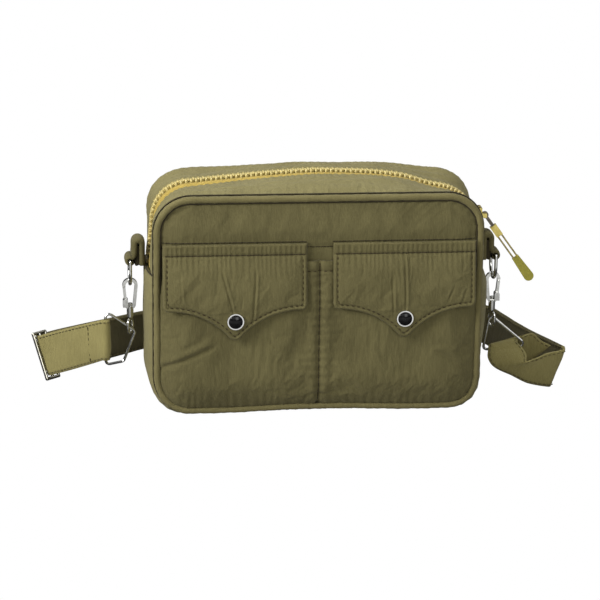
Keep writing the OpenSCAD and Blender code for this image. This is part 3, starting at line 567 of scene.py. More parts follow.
def gusset_out(S, D):
    """How far the lower gusset's cloth stands out from the piping's line."""
    t = np.abs(D) / EDGE
    flat = on_loop(S, D, 0 * S)
    side = smooth(8, 40, flat[..., 2])
    out = mix(4.6 * (1 - t ** 7), 4.8 * (1 - t ** 2.6), side) - 1.6 * fading(EDGE - np.abs(D), 1.6)
    out += seam_puckers(S, t ** 5)
    out += lumps(*np.moveaxis(flat, -1, 0), 30.0, 1.0) * (1 - t ** 4)
    right = smooth(35, 62, flat[..., 2]) * smooth(99, 86, flat[..., 2]) * (flat[..., 0] > 0)
    out += RIGHT_SWELL * right * (1 - t ** 3)
    seam = np.minimum(S - LEFT_SEAM_S, LOOP_LEN + RIGHT_SEAM_S - S)
    return out - 1.4 * hump(seam, 0, 3.0)


def side_seam(name, s):
    """A dark tube of painted shadow where the lower gusset meets the zip gusset."""
    d = np.linspace(-EDGE, EDGE, 60)
    line = on_loop(s + 0 * d, d, gusset_out(s + 0 * d, d) + 0.1)
    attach(tube(name, line, 0.6, 6, PAINTED_SEAM_SHADOW), "bag")


def lower_gusset():
    s = np.linspace(LEFT_SEAM_S, LOOP_LEN + RIGHT_SEAM_S, 260)
    d = EDGE * np.sin(np.linspace(-math.pi / 2, math.pi / 2, 40))
    S, D = np.meshgrid(s, d, indexing="ij")
    points = slump(on_loop(S, D, gusset_out(S, D)))
    points[..., 2] = np.maximum(points[..., 2], 0.0)
    # The lower gusset takes the lighter copy of the olive cloth: painted light.
    obj = thick_sheet("gusset_lower", points, 2.0, OLIVE_SIDE_PAINTED_LIGHT, loop_outward(S, D))
    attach(obj, "bag")
    padded_cloth(obj, 0.5, "lower_gusset")
    side_seam("side_seam_left", LEFT_SEAM_S)
    side_seam("side_seam_right", LOOP_LEN + RIGHT_SEAM_S)


# How far the zip stands out from the piping's line, at lengths from the middle of the top towards -X:
# highest in the middle, sunk at the two soft corners and most at the right one
RIDGE_AT = [-162, -140, -128, -112, -94, -80, -66, -40, 0, 40, 80, 95, 110, 128, 150, 162]
RIDGE_OUT = [3.4, 3.0, -0.5, -3.4, -4.0, -1.6, 4.2, 7.6, 9.2, 6.8, 3.2, 1.8, 1.0, -0.6, 2.2, 3.2]


def ridge_height(s):
    s = np.mod(s, LOOP_LEN) - TOP_MID_S
    near = [np.interp(s + shift, RIDGE_AT, RIDGE_OUT) for shift in (-9, -6, -3, 0, 3, 6, 9)]
    return np.mean(near, axis=0)


def strip_edge(front):
    """Where the cloth beside the zip ends: the front leaves more of the tape to see."""
    return ZIP_GAP_FRONT if front else ZIP_GAP


def strip_share(depth, front):
    """Nought at a strip's edge by the zip and one at the piping."""
    near = strip_edge(front)
    return np.clip((np.abs(depth) - near) / (EDGE - near), 0, 1)


def strip_out(s, depth, front):
    """How far the zip gusset's cloth stands out from the piping's line."""
    t = strip_share(depth, front)
    ridge = ridge_height(s)
    if front:
        sunk = np.interp(s - TOP_MID_S, [-120, -40, 30, 110], [0.8, 1.0, 1.6, 2.8])
        out = ridge * (1 - t ** 1.6) - sunk * hump(t, 0, 0.35)
    else:
        top = smooth(150, 100, np.abs(s - TOP_MID_S))
        out = ridge * (1 - t ** 1.8) - 1.8 * hump(t, 0, 0.16)
        out += 3.4 * top * hump(t, 0.72, 0.24)
    out += seam_puckers(s, t ** 5, 6.0, 0.5) + 0.5 * seam_puckers(s, (1 - t) ** 4, 4.6, 0.6)
    return out - 1.6 * fading((1 - t) * (EDGE - strip_edge(front)), 1.6)


def dress_lip(obj):
    """Bakes the object's placement into its mesh."""
    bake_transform(obj)


def zip_strip(name, s_from, s_to, front):
    """One quarter of the zip gusset: from a side seam round a corner to the middle of the mouth."""
    side = 1 if s_from < s_to else -1
    s = np.linspace(s_from, s_to + side * STRIP_LAP, 150)
    near = strip_edge(front)
    d = mix(near, EDGE, np.linspace(0, 1, 30))
    S, D = np.meshgrid(s, d if front else -d, indexing="ij")
    past = np.maximum(side * (S - s_to), 0)
    out = strip_out(S, D, front) - 0.08 * past ** 2
    flat = on_loop(S, D, 0 * S)
    t = strip_share(D, front)
    between = 4 * t * (1 - t)
    out += 0.55 * lumps(*np.moveaxis(flat, -1, 0), 22.0, 5.0 + front) * between
    out += lumps(S * 0.14, D, 0 * S, 4.2, 25.0 + front) * between
    out -= 1.2 * hump(S, s_from, 3.0)
    out -= 0.5 * hump(np.abs(D), near + 2.4, 0.8)
    # The zip strips take the lighter copy of the olive cloth: painted light.
    obj = thick_sheet(name, on_loop(S, D, out), 1.6, OLIVE_SIDE_PAINTED_LIGHT, loop_outward(S, D))
    dress_lip(obj)
    padded_cloth(obj, 0.4, f"{row_name(front)}_top_strip", f"zip_gusset_{side_name(side)}")


# Panels

def half_width(z, inset):
    """Half the width of the body's outline at a height."""
    r = CORNER_R - inset
    dz = np.maximum(np.maximum(LOW_Z - z, z - HIGH_Z), 0)
    return CORNER_X + np.sqrt(np.maximum(r * r - np.minimum(dz, r) ** 2, 0))


def panel_grid(inset, low, high, rows, cols):
    """Rows up a panel, each as wide as the outline there, closer together near the ends."""
    z = mix(low, high, 0.5 - 0.5 * np.cos(np.linspace(0, math.pi, rows)))
    u = np.sin(np.linspace(-math.pi / 2, math.pi / 2, cols)) * 0.55 + np.linspace(-1, 1, cols) * 0.45
    Z, U = np.meshgrid(z, u, indexing="ij")
    return U * half_width(Z, inset), Z


def outline_distance(x, z, inset):
    """Distance inwards from the body's outline."""
    r = CORNER_R - inset
    qx = np.abs(x) - CORNER_X
    qz = np.abs(z - (LOW_Z + HIGH_Z) / 2) - (HIGH_Z - LOW_Z) / 2
    outside = np.hypot(np.maximum(qx, 0), np.maximum(qz, 0))
    return r - (outside + np.minimum(np.maximum(qx, qz), 0))


def way_round(x, z):
    """A rough length round a panel's edge, from its angle about the middle."""
    middle_z, mean_radius = 80, 110
    return np.arctan2(z - middle_z, x) * mean_radius


def front_panel():
    x, z = panel_grid(PANEL_INSET, BOTTOM + PANEL_INSET, TOP - PANEL_INSET, 90, 150)
    inside = outline_distance(x, z, PANEL_INSET)
    out = 2.6 * smooth(-2, 16, inside) - 1.0 - 1.2 * fading(inside, 1.2)
    out += seam_puckers(way_round(x, z), fading(inside, 4.0), 6.0, 0.45)
    out -= 1.3 * hump(z, YOKE_Z, 0.7)
    out += 0.5 * hump(z, YOKE_Z + 2.2, 1.5)
    out += 0.4 * lumps(x, 0 * x, z, 30.0, 7.0) * smooth(2, 14, inside)
    out += seam_puckers(x, smooth(133, 124, z) * smooth(118, 122, z), 4.3, 0.22)
    out += crease(x, z, (-111, 143), (-90, 150), 1.8, 0.9)
    out += crease(x, z, (92, 146), (107, 136), 1.6, 0.8)
    points = np.stack([x, -(FACE - 0.6) - out, z], axis=-1)
    points = slump(settle(points, sewn_lines(inside, z - YOKE_Z), 0.01, 0.4))
    obj = thick_sheet("panel_front", points, 2.0, OLIVE, (0, -1, 0))
    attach(obj, "bag")
    padded_cloth(obj, 0.5, "front_panel", "front_wadding")
    return obj


def back_panel():
    x, z = panel_grid(PANEL_INSET, BOTTOM + PANEL_INSET, TOP - PANEL_INSET, 80, 120)
    inside = outline_distance(x, z, PANEL_INSET)
    out = 3.0 * smooth(-2, 30, inside) - 0.7
    out += seam_puckers(way_round(x, z), fading(inside, 5.0), 7.5, 0.8)
    out += lumps(x, 0 * x, z, 34.0, 9.0) * smooth(2, 20, inside)
    points = np.stack([x, FACE - 0.6 + out, z], axis=-1)
    obj = thick_sheet("panel_back", points, 2.0, OLIVE, (0, 1, 0))
    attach(obj, "bag")
    padded_cloth(obj, 0.5, "back_panel", "back_wadding")


def pocket_panel():
    x, z = panel_grid(POCKET_INSET, BOTTOM + POCKET_INSET, POCKET_TOP, 96, 190)
    edge = outline_distance(x, z, POCKET_INSET)
    inside = np.minimum(edge, 40)
    rise = smooth(-3, 15, inside)
    out = 6.0 * rise - 3.4 * smooth(84, 112, z) - 1.2 * fading(inside, 1.2)
    out -= 1.9 * hump(x, 0, 1.5)
    out += 0.5 * hump(np.abs(x), 5, 3.0)
    out += seam_puckers(x, fading(z - BOTTOM - POCKET_INSET, 4.0), 6.0, 0.3)
    out += seam_puckers(z, fading(np.abs(x), 5.0), 6.0, 0.35)
    out -= 0.5 * hump(z, HEM_Z, 0.9)
    out += 0.4 * smooth(HEM_Z - 1, HEM_Z + 1.5, z)
    out += 0.7 * lumps(x, 0 * x, z, 34.0, 11.0) * smooth(4, 18, inside)
    out += 0.2 * lumps(x, 0 * x, z * 0.5, 11.0, 13.0) * smooth(2, 10, inside)
    out += crease(x, z, (-111, 35), (-73, 52), 2.0, 1.4)
    out += crease(x, z, (108, 30), (84, 46), 2.4, 0.8)
    points = np.stack([x, -(FACE + 0.4) - out, z], axis=-1)
    held = sewn_lines(edge, x, z - HEM_Z, z - POCKET_TOP)
    points = slump(refine(settle(points, held, 0.008, 0.5)))
    obj = thick_sheet("pocket_front", points, 1.4, OLIVE, (0, -1, 0))
    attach(obj, "bag")
    padded_cloth(obj, 0.4, "pocket_panel")
    return obj


# Flaps

def round_side(r, x):
    """Height of a circle's upper half over its middle."""
    return np.sqrt(np.maximum(r * r - x * x, 0))


def flap_bottom(x):
    """Height of a flap's lower edge: two hollow curves that meet in a round tip."""
    half, edge_r, tip_r = FLAP_W / 2, 4.0, 5.0
    reach = half - edge_r
    drop = FLAP_CORNER_Z - FLAP_TIP_Z - tip_r
    curve = (reach ** 2 + drop ** 2 - tip_r ** 2) / (2 * (drop + tip_r))
    a = np.abs(x)
    meet = tip_r * reach / (curve + tip_r)
    hollow = FLAP_CORNER_Z - curve + round_side(curve, reach - np.minimum(a, reach))
    tip = FLAP_TIP_Z + tip_r - round_side(tip_r, np.minimum(a, tip_r))
    corner = FLAP_CORNER_Z + edge_r - round_side(edge_r, np.clip(a - reach, 0, edge_r))
    return np.where(a < meet, tip, np.where(a < reach, hollow, corner))


def flap_creases(side, x, z):
    """The sharp folds that run up from the snap, and a few short ones at the lower edge."""
    if side < 0:
        folds = [((-9, 106), (-1.5, 78), 1.0), ((14.5, 107), (12, 69), 0.9), ((-38, 106), (-37, 86), 0.4)]
    else:
        folds = [((-9, 100), (-8, 76), 0.9), ((0, 111), (0.5, 78), 0.9)]
        folds += [((30, 83), (34, 93), 0.6), ((40, 82), (43, 91), 0.6)]
    return sum(crease(x, z, start, end, 0.75, depth) for start, end, depth in folds)


def bend_flap(piece):
    """Bakes the piece's placement into its mesh."""
    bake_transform(piece)


def flap(side):
    name = side_name(side)
    outer = np.linspace(0.1, 1, 46)
    u = np.concatenate([-outer[::-1], np.linspace(-0.1, 0.1, 17)[1:-1], outer])
    x = u * FLAP_W / 2
    t = 0.5 - 0.5 * np.cos(np.linspace(0, math.pi, 60)) * 0.6 + (np.linspace(0, 1, 60) - 0.5) * 0.4
    low = flap_bottom(x)
    X = np.broadcast_to(x, (len(t), len(x))).copy()
    Z = FLAP_TOP + t[:, None] * (low - FLAP_TOP)
    line = np.concatenate([[[-FLAP_W / 2, FLAP_TOP]], np.stack([x, low], axis=1), [[FLAP_W / 2, FLAP_TOP]]])
    edge = segment_distance(X, Z, line)
    edge_all = np.minimum(edge, FLAP_TOP - Z)
    out = mix(FACE + 4.4, FLAP_FRONT, np.clip((FLAP_HINGE_Z + 1 - Z) / 40, 0, 1) ** 0.8)
    out += smooth(3, 14, edge) * smooth(118, 106, Z)
    out -= 1.3 * (1 - np.clip(edge_all / 1.6, 0, 1)) ** 2
    out -= 0.8 * hump(edge, FLAP_STITCH_IN, 0.8) * smooth(118, 115, Z)
    out -= 0.9 * hump(Z, FLAP_HINGE_Z, 0.9)
    band = smooth(126, 122, Z) * smooth(100, 116, Z)
    out += seam_puckers(X + 20 * side, band, 3.4, 0.2)
    out += seam_puckers(X + Z, fading(np.abs(edge - 1.5), 2.0) * smooth(116, 110, Z), 3.6, 0.22)
    out += 0.45 * lumps(X + 50 * side, 0 * X, Z * 0.6, 17.0, 17.0) * smooth(3, 10, edge)
    out = mix(out, FLAP_FRONT - 0.3, np.exp(-((X ** 2 + (Z - SNAP_Z) ** 2) / 9.0 ** 2) ** 2))
    points = np.stack([X + side * FLAP_X, -out, Z], axis=-1)
    snap = np.hypot(X, Z - SNAP_Z) - 5.5
    held = sewn_lines(edge_all - 1.5, edge - FLAP_STITCH_IN, Z - FLAP_HINGE_Z, np.maximum(snap, 0))
    points = refine(settle(points, held, 0.009, 0.3))
    points[..., 1] -= flap_creases(side, points[..., 0] - side * FLAP_X, points[..., 2])
    obj = thick_sheet(f"flap_{name}_cloth", points, 2.0, OLIVE, (0, -1, 0))
    bend_flap(obj)
    padded_cloth(obj, 0.4, f"flap_{name}", "flap_bands")
    return obj


# Piping

def piping(name, y, node):
    s = np.arange(0, LOOP_LEN, 2.4)
    line = slump(on_loop(s, -y + 0 * s, -PIPING_R + 0 * s))
    radius = PIPING_R + 0.12 * np.sin(s * 0.9) + 0.1 * np.sin(s * 2.3 + 1)
    obj = tube(name, line, radius, 12, PIPING, closed=True)
    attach(obj, "bag")
    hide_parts(node)
    # Dark tubes at both sides of the piping: painted shadow in its grooves.
    for label, depth, out in (("panel", 38.2, -2 * PIPING_R - 0.2), ("gusset", 35.0, 0.1)):
        seam = slump(on_loop(s, math.copysign(depth, -y) + 0 * s, out + 0 * s))
        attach(tube(f"{name}_seam_{label}", seam, 0.6, 6, PAINTED_SEAM_SHADOW, closed=True), "bag")


# Zip

TOOTH_PITCH = 3.5


def tooth_shape():
    """One moulded tooth as [along, depth, out]: a bar with a rounded head at its tip."""
    profile = [(-0.8, 4.0), (-0.8, 0.5), (-1.1, -0.2), (-1.0, -1.2), (-0.5, -1.7),
               (0.5, -1.7), (1.0, -1.2), (1.1, -0.2), (0.8, 0.5), (0.8, 4.0)]
    levels = [(-1.9, 0.8), (-1.4, 1.0), (1.4, 1.0), (1.9, 0.8)]
    points = [(a * k, d * (0.9 if k < 1 else 1), h) for h, k in levels for a, d in profile]
    n = len(profile)
    faces = grid_faces(len(levels), n, close_cols=True)
    faces.append(tuple(range(n)))
    faces.append(tuple(reversed(range((len(levels) - 1) * n, len(levels) * n))))
    return np.array(points), faces


def zip_base(s):
    """Outward distance of the middle of the teeth."""
    return ridge_height(s) - 1.2


def zip_teeth(name, places, front, side):
    shape, shape_faces = tooth_shape()
    points, faces = [], []
    for s in places:
        at = s + shape[:, 0]
        depth = shape[:, 1] if front else -shape[:, 1]
        faces += [tuple(len(points) + k for k in f) for f in shape_faces]
        points.extend(on_loop(at, depth, zip_base(at) + shape[:, 2]))
    obj = make_object(name, points, faces, RESIN)
    fix_normals(obj)
    dress_lip(obj)
    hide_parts(f"zip_teeth_{row_name(front)}", f"zip_teeth_{side_name(side)}")


def zip_tape(name, s_from, s_to, front, side):
    s = np.linspace(s_from, s_to, 120)
    near = strip_edge(front)
    d = np.linspace(2.6, near + 4.0, 10)
    S, D = np.meshgrid(s, d if front else -d, indexing="ij")
    under = smooth(near - 2.0, near + 2.5, np.abs(D))
    out = mix(zip_base(S) - 0.2, strip_out(S, np.maximum(np.abs(D), near), front) - 2.2, under)
    obj = thick_sheet(name, on_loop(S, D, out), 0.5, TAPE, loop_outward(S, D))
    dress_lip(obj)
    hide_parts(f"zip_tape_{row_name(front)}", f"zip_tape_{side_name(side)}")


def zip_all():
    for side in (1, -1):
        name = side_name(side)
        seam = RIGHT_SEAM_S if side > 0 else LEFT_SEAM_S
        count = int((abs(TOP_MID_S - seam) - 6) / TOOTH_PITCH)
        for front in (True, False):
            row = row_name(front)
            zip_strip(f"zip_strip_{row}_{name}", seam, TOP_MID_S, front)
            zip_tape(f"zip_tape_{row}_{name}_cloth", seam - side * 3, TOP_MID_S, front, side)
            shift = 0.25 if front else -0.25
            first = TOP_MID_S + shift * TOOTH_PITCH
            places = [first - side * (k + 0.5) * TOOTH_PITCH for k in range(count)]
            zip_teeth(f"zip_row_{row}_{name}", places, front, side)


# Strap and tabs

def band(name, stations, thickness, material, columns=11, square=True, wave=0.6):
    """A flat band through stations of [middle, width direction, width]."""
    middle = np.array([p for p, w, k in stations], float)
    wide = np.array([w for p, w, k in stations], float)
    width = np.array([k for p, w, k in stations], float)
    run = unit(np.gradient(middle, axis=0))
    if square:
        wide = wide - run * np.sum(wide * run, axis=1, keepdims=True)
    wide = unit(wide)
    thick = unit(np.cross(run, wide))
    across = np.linspace(-1, 1, columns)
    half = np.broadcast_to(thickness, len(middle))[:, None] / 2
    puff = half * (1 - 0.45 * np.abs(across) ** 6) - 0.18 * hump(np.abs(across), 0.8, 0.06)
    flat = middle[:, None] + wide[:, None] * (across * width[:, None] / 2)[..., None]
    flat = flat + thick[:, None] * (wave * lumps(*np.moveaxis(flat, -1, 0), 16.0, 31.0))[..., None]
    front = flat + thick[:, None] * puff[..., None]
    back = flat - thick[:, None] * puff[..., None]
    ring = np.concatenate([front, back[:, ::-1]], axis=1)
    rows, cols = ring.shape[:2]
    faces = grid_faces(rows, cols, close_cols=True)
    for i in (0, rows - 1):
        for j in range(columns - 1):
            a, b = i * cols + j, i * cols + j + 1
            c, d = i * cols + cols - 1 - j - 1, i * cols + cols - 1 - j
            faces.append((a, b, c, d) if i == 0 else (d, c, b, a))
    obj = make_object(name, ring.reshape(-1, 3), faces, material)
    fix_normals(obj)
    return obj, middle, wide, width, thick


def band_stitches(name, middle, wide, width, thick, face, inset=1.7):
    """Two rows of stitches on one face of the strap, near its edges."""
    objs = []
    for k, edge in enumerate((-1, 1)):
        line = middle + wide * (edge * (width / 2 - inset))[:, None] + thick * face * STRAP_T / 2
        objs.append(stitches(f"{name}_{k}", line, STRAP_THREAD))
    return objs


def dense(stations, step):
    """Stations at an even step along a smooth curve through the ones given."""
    table = np.array([[*p, *w, k] for p, w, k in stations], float)
    table = resample(rounded(table, 6), step)
    return [(row[:3], row[3:6], row[6]) for row in table]


def arc_points(centre, r, start, end, steps):
    angles = np.radians(np.linspace(start, end, steps + 1))
    return [np.array(centre, float) + r * np.array([math.cos(a), math.sin(a)]) for a in angles]


LEFT_BAR = np.array([-147.0, 0.0])
LEFT_BAR_Z = 44.7
SLIDER_BAR = np.array([-189.0, 47.0])
SLIDER_Z = 18.5
SLIDER_LEAN = np.array([-0.278, 0.331, 0.9])
BACK_ANGLE = 40.0
WRAP_R = 2.6
STRAP_MID = 15.5
TAIL_LEN = 16.0
TAIL_OFF = 0.9
BACK_RUN = 97.0
RIGHT_FOLD = np.array([180.0, 3.0])
RIGHT_END = RIGHT_FOLD + [0, 6]
RIGHT_FAR = RIGHT_FOLD + [-18, 52]
RIGHT_LEAN = np.array([0.38, 0, 0.92])
LEFT_RUN = SLIDER_BAR - LEFT_BAR
LEFT_ANGLE = math.degrees(math.atan2(LEFT_RUN[1], LEFT_RUN[0]))


def left_station(p):
    s = float(np.clip((p - LEFT_BAR) @ LEFT_RUN / (LEFT_RUN @ LEFT_RUN), 0, 1))
    z = mix(LEFT_BAR_Z, SLIDER_Z, s)
    return (np.array([p[0], p[1], z]), unit(mix(np.array([0, 0, 1.0]), SLIDER_LEAN, s)), STRAP_W)


def left_plan():
    a = math.radians(LEFT_ANGLE)
    tail = LEFT_BAR + TAIL_LEN * unit(LEFT_RUN) + TAIL_OFF * np.array([math.sin(a), -math.cos(a)])
    points = [tail]
    points += arc_points(LEFT_BAR, WRAP_R, LEFT_ANGLE - 90, LEFT_ANGLE - 270, 8)
    points += arc_points(SLIDER_BAR, WRAP_R, LEFT_ANGLE + 90, BACK_ANGLE + 90, 6)
    return points


def main_plan():
    start = left_plan()[-1]
    a = math.radians(BACK_ANGLE)
    turn = start + BACK_RUN * np.array([math.cos(a), math.sin(a)])
    first_y, step, half, count = 61.0, 13.0, 68.0, 5
    points = [mix(start, turn, s) for s in (0.004, 0.16, 0.4, 0.7, 1)]
    points += [turn + [9, 4], turn + [19, -2], turn + [27, -15], np.array([-half - 4, first_y + 3])]
    for i in range(count - 1):
        right = i % 2 == 0
        centre = [half if right else -half, first_y + step * (i + 0.5)]
        points += arc_points(centre, step / 2, -90 if right else 270, 90, 8)
    last_y = first_y + step * (count - 1)
    beyond = [(22, 0), (46, 2), (64, 3), (79, -5)]
    points += [np.array([half + dx, last_y + dy]) for dx, dy in beyond]
    points += [RIGHT_FAR, RIGHT_END]
    return points


def main_stations():
    points = main_plan()
    start = points[0]
    out = []
    for p in points:
        rise = float(np.clip((p[0] - start[0] - 12) / 56, 0, 1))
        tip = float(np.clip((p[0] - 140) / 36, 0, 1))
        lean = mix(SLIDER_LEAN, np.array([0, 0, 1.0]), rise) + tip * (RIGHT_LEAN - [0, 0, 1])
        out.append((np.array([p[0], p[1], mix(SLIDER_Z, STRAP_MID, rise)]), unit(lean), STRAP_W))
    return out


# The strap's right end as pairs of points on its lower and its upper edge: from the fold at the corner it
# comes forward and to the left, bunches up, goes loosely over the ring's bar and back down behind
RIGHT_EDGES = [
    ((173.6, 1.2, 1.4), (184.6, 1.0, 29.6)),
    ((157.5, -3.0, 6.0), (171.0, -5.5, 29.2)),
    ((143.0, -6.5, 14.4), (161.0, -10.5, 26.8)),
    ((129.5, -9.0, 22.4), (154.5, -11.5, 25.0)),
    ((126.8, -7.0, 27.6), (154.6, -8.6, 29.6)),
    ((127.4, -3.4, 31.6), (152.0, -3.8, 33.6)),
    ((128.4, 0.0, 34.6), (149.6, 0.0, 35.8)),
    ((129.6, 3.2, 33.8), (150.8, 3.8, 37.0)),
    ((133.0, 4.6, 31.0), (161.0, 5.2, 41.0)),
    ((141.0, 5.4, 22.5), (168.5, 6.4, 35.0)),
    ((151.0, 5.6, 12.5), (175.5, 7.0, 31.0)),
]


def right_stations():
    aim = unit(RIGHT_END - RIGHT_FAR)
    out = []
    run = np.array([aim[0], aim[1], 0])
    wide = unit(RIGHT_LEAN - run * (RIGHT_LEAN @ run))
    for p in (RIGHT_END + 0.1 * aim, RIGHT_END + 2.4 * aim, RIGHT_FOLD + [0.4, 1]):
        out.append((np.array([p[0], p[1], STRAP_MID]), wide, STRAP_W))
    for low, high in RIGHT_EDGES:
        low, high = np.array(low), np.array(high)
        out.append(((low + high) / 2, unit(high - low), float(np.linalg.norm(high - low))))
    return out


def cross_row(middle, wide, thick):
    """The row that closes the sewn tail, on the face that looks to the front."""
    on_the_tail = np.arange(len(middle)) < len(middle) / 3
    away = np.abs(middle[:, 0] - (LEFT_BAR[0] - 11)) + 50 * on_the_tail
    at = int(np.argmin(away))
    across = np.linspace(-13.5, 13.5, 12)[:, None]
    front = -1 if thick[at][1] > 0 else 1
    line = middle[at] + wide[at] * across + thick[at] * front * STRAP_T / 2
    return stitches("strap_left_cross_stitch", line, THREAD)


def strap_run(name, stations, material, node):
    """One run of the strap with its rows of stitches; all of its pieces are returned."""
    square = node == "strap_main"
    obj, middle, wide, width, thick = band(f"{name}_cloth", stations, STRAP_T, material, square=square)
    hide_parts(node)
    pieces = [obj]
    for face, label in ((1, "a"), (-1, "b")):
        pieces += band_stitches(f"{name}_stitch_{label}", middle, wide, width, thick, face)
    if node == "strap_left_end":
        pieces.append(cross_row(middle, wide, thick))
    return pieces


# Where each strap end begins to bend, and where it reaches its ring
LEFT_BEND = ((-172, 28, 29), (-150, 3, 43))
RIGHT_BEND = ((172, -2, 15), (142, -4, 28))


def bend_end(pieces, body, start, end):
    """Bakes each piece's placement into its mesh."""
    for piece in pieces:
        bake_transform(piece)


def strap():
    left = dense([left_station(p) for p in left_plan()], 1.6)
    pieces = strap_run("strap_left", left, OLIVE_STRAP, "strap_left_end")
    bend_end(pieces, "left_drop", *LEFT_BEND)
    # The long strap takes the darker copy of the strap cloth: painted shade.
    pieces = strap_run("strap_long", dense(main_stations(), 2.5), STRAP_PAINTED_SHADE, "strap_main")
    for piece in pieces:
        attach(piece, "bag")
    pieces = strap_run("strap_right", dense(right_stations(), 1.6), OLIVE_STRAP, "strap_right_end")
    bend_end(pieces, "right_drop", *RIGHT_BEND)


D_RING_BAR = (129.6, 104.0)
TAB_W = 16.0


def tab_station(side, place, width):
    return np.array([side * place[0], 0, place[1]]), np.array([0, 1.0, 0]), width


def tab(side):
    """A cloth loop that stands out from the side seam, folds over and holds the D-ring's bar; its darker
    cloth and the dark sheet between its legs are painted shade.
    """
    name = side_name(side)
    plan = [(121.2, 100.8), (121.3, 108.0), (121.3, 115.0)]
    plan += arc_points((123.9, 116.0), 2.6, 180, 0, 8)
    plan += [(126.5, 113.0), (126.8, 108.6)]
    plan += arc_points(D_RING_BAR, 2.6, 140, -150, 10)
    loop = dense([tab_station(side, p, TAB_W) for p in plan], 0.9)
    middle = np.array([p for p, w, k in loop])
    round_bar = np.hypot(side * middle[:, 0] - D_RING_BAR[0], middle[:, 2] - D_RING_BAR[1])
    thickness = mix(2.4, 4.6, smooth(2.8, 5.5, round_bar))
    # The loop takes the darker copy of the olive cloth: painted shade.
    cloth_loop = band(f"tab_{name}_cloth", loop, thickness, OLIVE_TAB_PAINTED_SHADE, 9, wave=0.2)[0]
    # A near-black sheet between the loop's legs: painted shade inside the fold.
    inside = [(123.9, 114.5), (124.0, 109.0), (124.2, 105.5), (124.2, 102.5), (123.6, 101.0)]
    fold = dense([tab_station(side, p, TAB_W - 3) for p in inside], 0.9)
    fold_painted_shade = band(f"tab_{name}_fold", fold, 5.2, PAINTED_SEAM_SHADOW, 9, wave=0.2)[0]
    for piece in (cloth_loop, fold_painted_shade):
        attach(piece, "bag")
        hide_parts(f"{name}_tab")


# Lining

LINING_T = 0.6
LINING_IN = 6.9
LINING_HALF_D = 33.0
LINING_WALL_Y = 33.6
LINING_TOP = 150.0
LINING_PAST_SEAM = 62.0


def lining():
    """A cloth tub inside, open under the zip."""
    ends = LEFT_SEAM_S - LINING_PAST_SEAM, LOOP_LEN + RIGHT_SEAM_S + LINING_PAST_SEAM
    s = np.linspace(*ends, 220)
    d = np.linspace(-LINING_HALF_D, LINING_HALF_D, 24)
    S, D = np.meshgrid(s, d, indexing="ij")
    out = 0.4 * lumps(S, D, 0 * S, 14.0, 21.0) - LINING_IN
    walls = [thick_sheet("lining_gusset", on_loop(S, D, out), LINING_T, LINING, loop_outward(S, D))]
    for face, label in ((-1, "front"), (1, "back")):
        x, z = panel_grid(LINING_INSET, BOTTOM + LINING_INSET, LINING_TOP, 50, 80)
        y = face * (LINING_WALL_Y - 0.5 * lumps(x, 0 * x, z, 18.0, 23.0 + face))
        points = np.stack([x, y, z], axis=-1)
        walls.append(thick_sheet(f"lining_{label}", points, LINING_T, LINING, (0, face, 0)))
    for wall in walls:
        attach(wall, "bag")
        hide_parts("lining")


# Seams that are stitched through

def before_front(points):
    """Points of [x, z] on a plane clear of the front, from which rows are dropped on to the cloth."""
    return np.array([[p[0], BEFORE_FRONT, p[1]] for p in points], float)


def flap_stitches(side, obj):
    name = side_name(side)
    tree = surface_of(obj)
    reach = FLAP_W / 2 - FLAP_STITCH_IN
    x = np.linspace(-reach, reach, 160)
    low = flap_bottom(x)
    slope = np.gradient(low, x)
    shift = FLAP_STITCH_IN / np.sqrt(1 + slope ** 2)
    down = np.linspace(FLAP_HINGE_Z - 1, FLAP_CORNER_Z + 8, 30)
    edge = [(-reach, z) for z in down]
    edge += [(a - s * k, b + k) for a, b, s, k in zip(x, low, slope, shift) if abs(a) < reach - 1]
    edge += [(reach, z) for z in down[::-1]]
    edge = [(side * FLAP_X + a, b) for a, b in edge]
    row = stitches(f"flap_{name}_edge_stitch", before_front(edge), THREAD, tree)
    span = np.linspace(-FLAP_W / 2 + 1, FLAP_W / 2 - 1, 40)
    top = before_front([(side * FLAP_X + a, FLAP_HINGE_Z + 0.2) for a in span])
    band_row = stitches(f"flap_{name}_band_stitch", top, THREAD, tree)
    # A painted shadow line along the band's seam.
    band_seam = seam_line(f"flap_{name}_band_seam", top, tree)
    for piece in (row, band_row, band_seam):
        bend_flap(piece)


def pocket_stitches(obj):
    tree = surface_of(obj)
    across = before_front([(a, HEM_Z) for a in np.linspace(-108, 108, 60)])
    down = before_front([(0, b) for b in np.linspace(POCKET_TOP - 1, BOTTOM + 6, 60)])
    hem = stitches("pocket_hem_stitch", across, THREAD, tree)
    middle = stitches("pocket_middle_stitch", down, THREAD, tree)
    # A painted shadow line down the middle seam.
    seam = seam_line("pocket_middle_seam", down, tree)
    for piece in (hem, middle, seam):
        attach(piece, "bag")


def front_seams(obj):
    """Painted shadow lines at the yoke's seam and where each flap's top is sewn on."""
    tree = surface_of(obj)
    line = before_front([(a, YOKE_Z) for a in np.linspace(-110, 110, 120)])
    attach(seam_line("yoke_seam", line, tree), "bag")
    for side in (-1, 1):
        ends = side * FLAP_X - FLAP_W / 2 - 1, side * FLAP_X + FLAP_W / 2 + 1
        line = before_front([(a, FLAP_TOP + 0.7) for a in np.linspace(*ends, 60)])
        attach(seam_line(f"flap_{side_name(side)}_top_seam", line, tree), "bag")


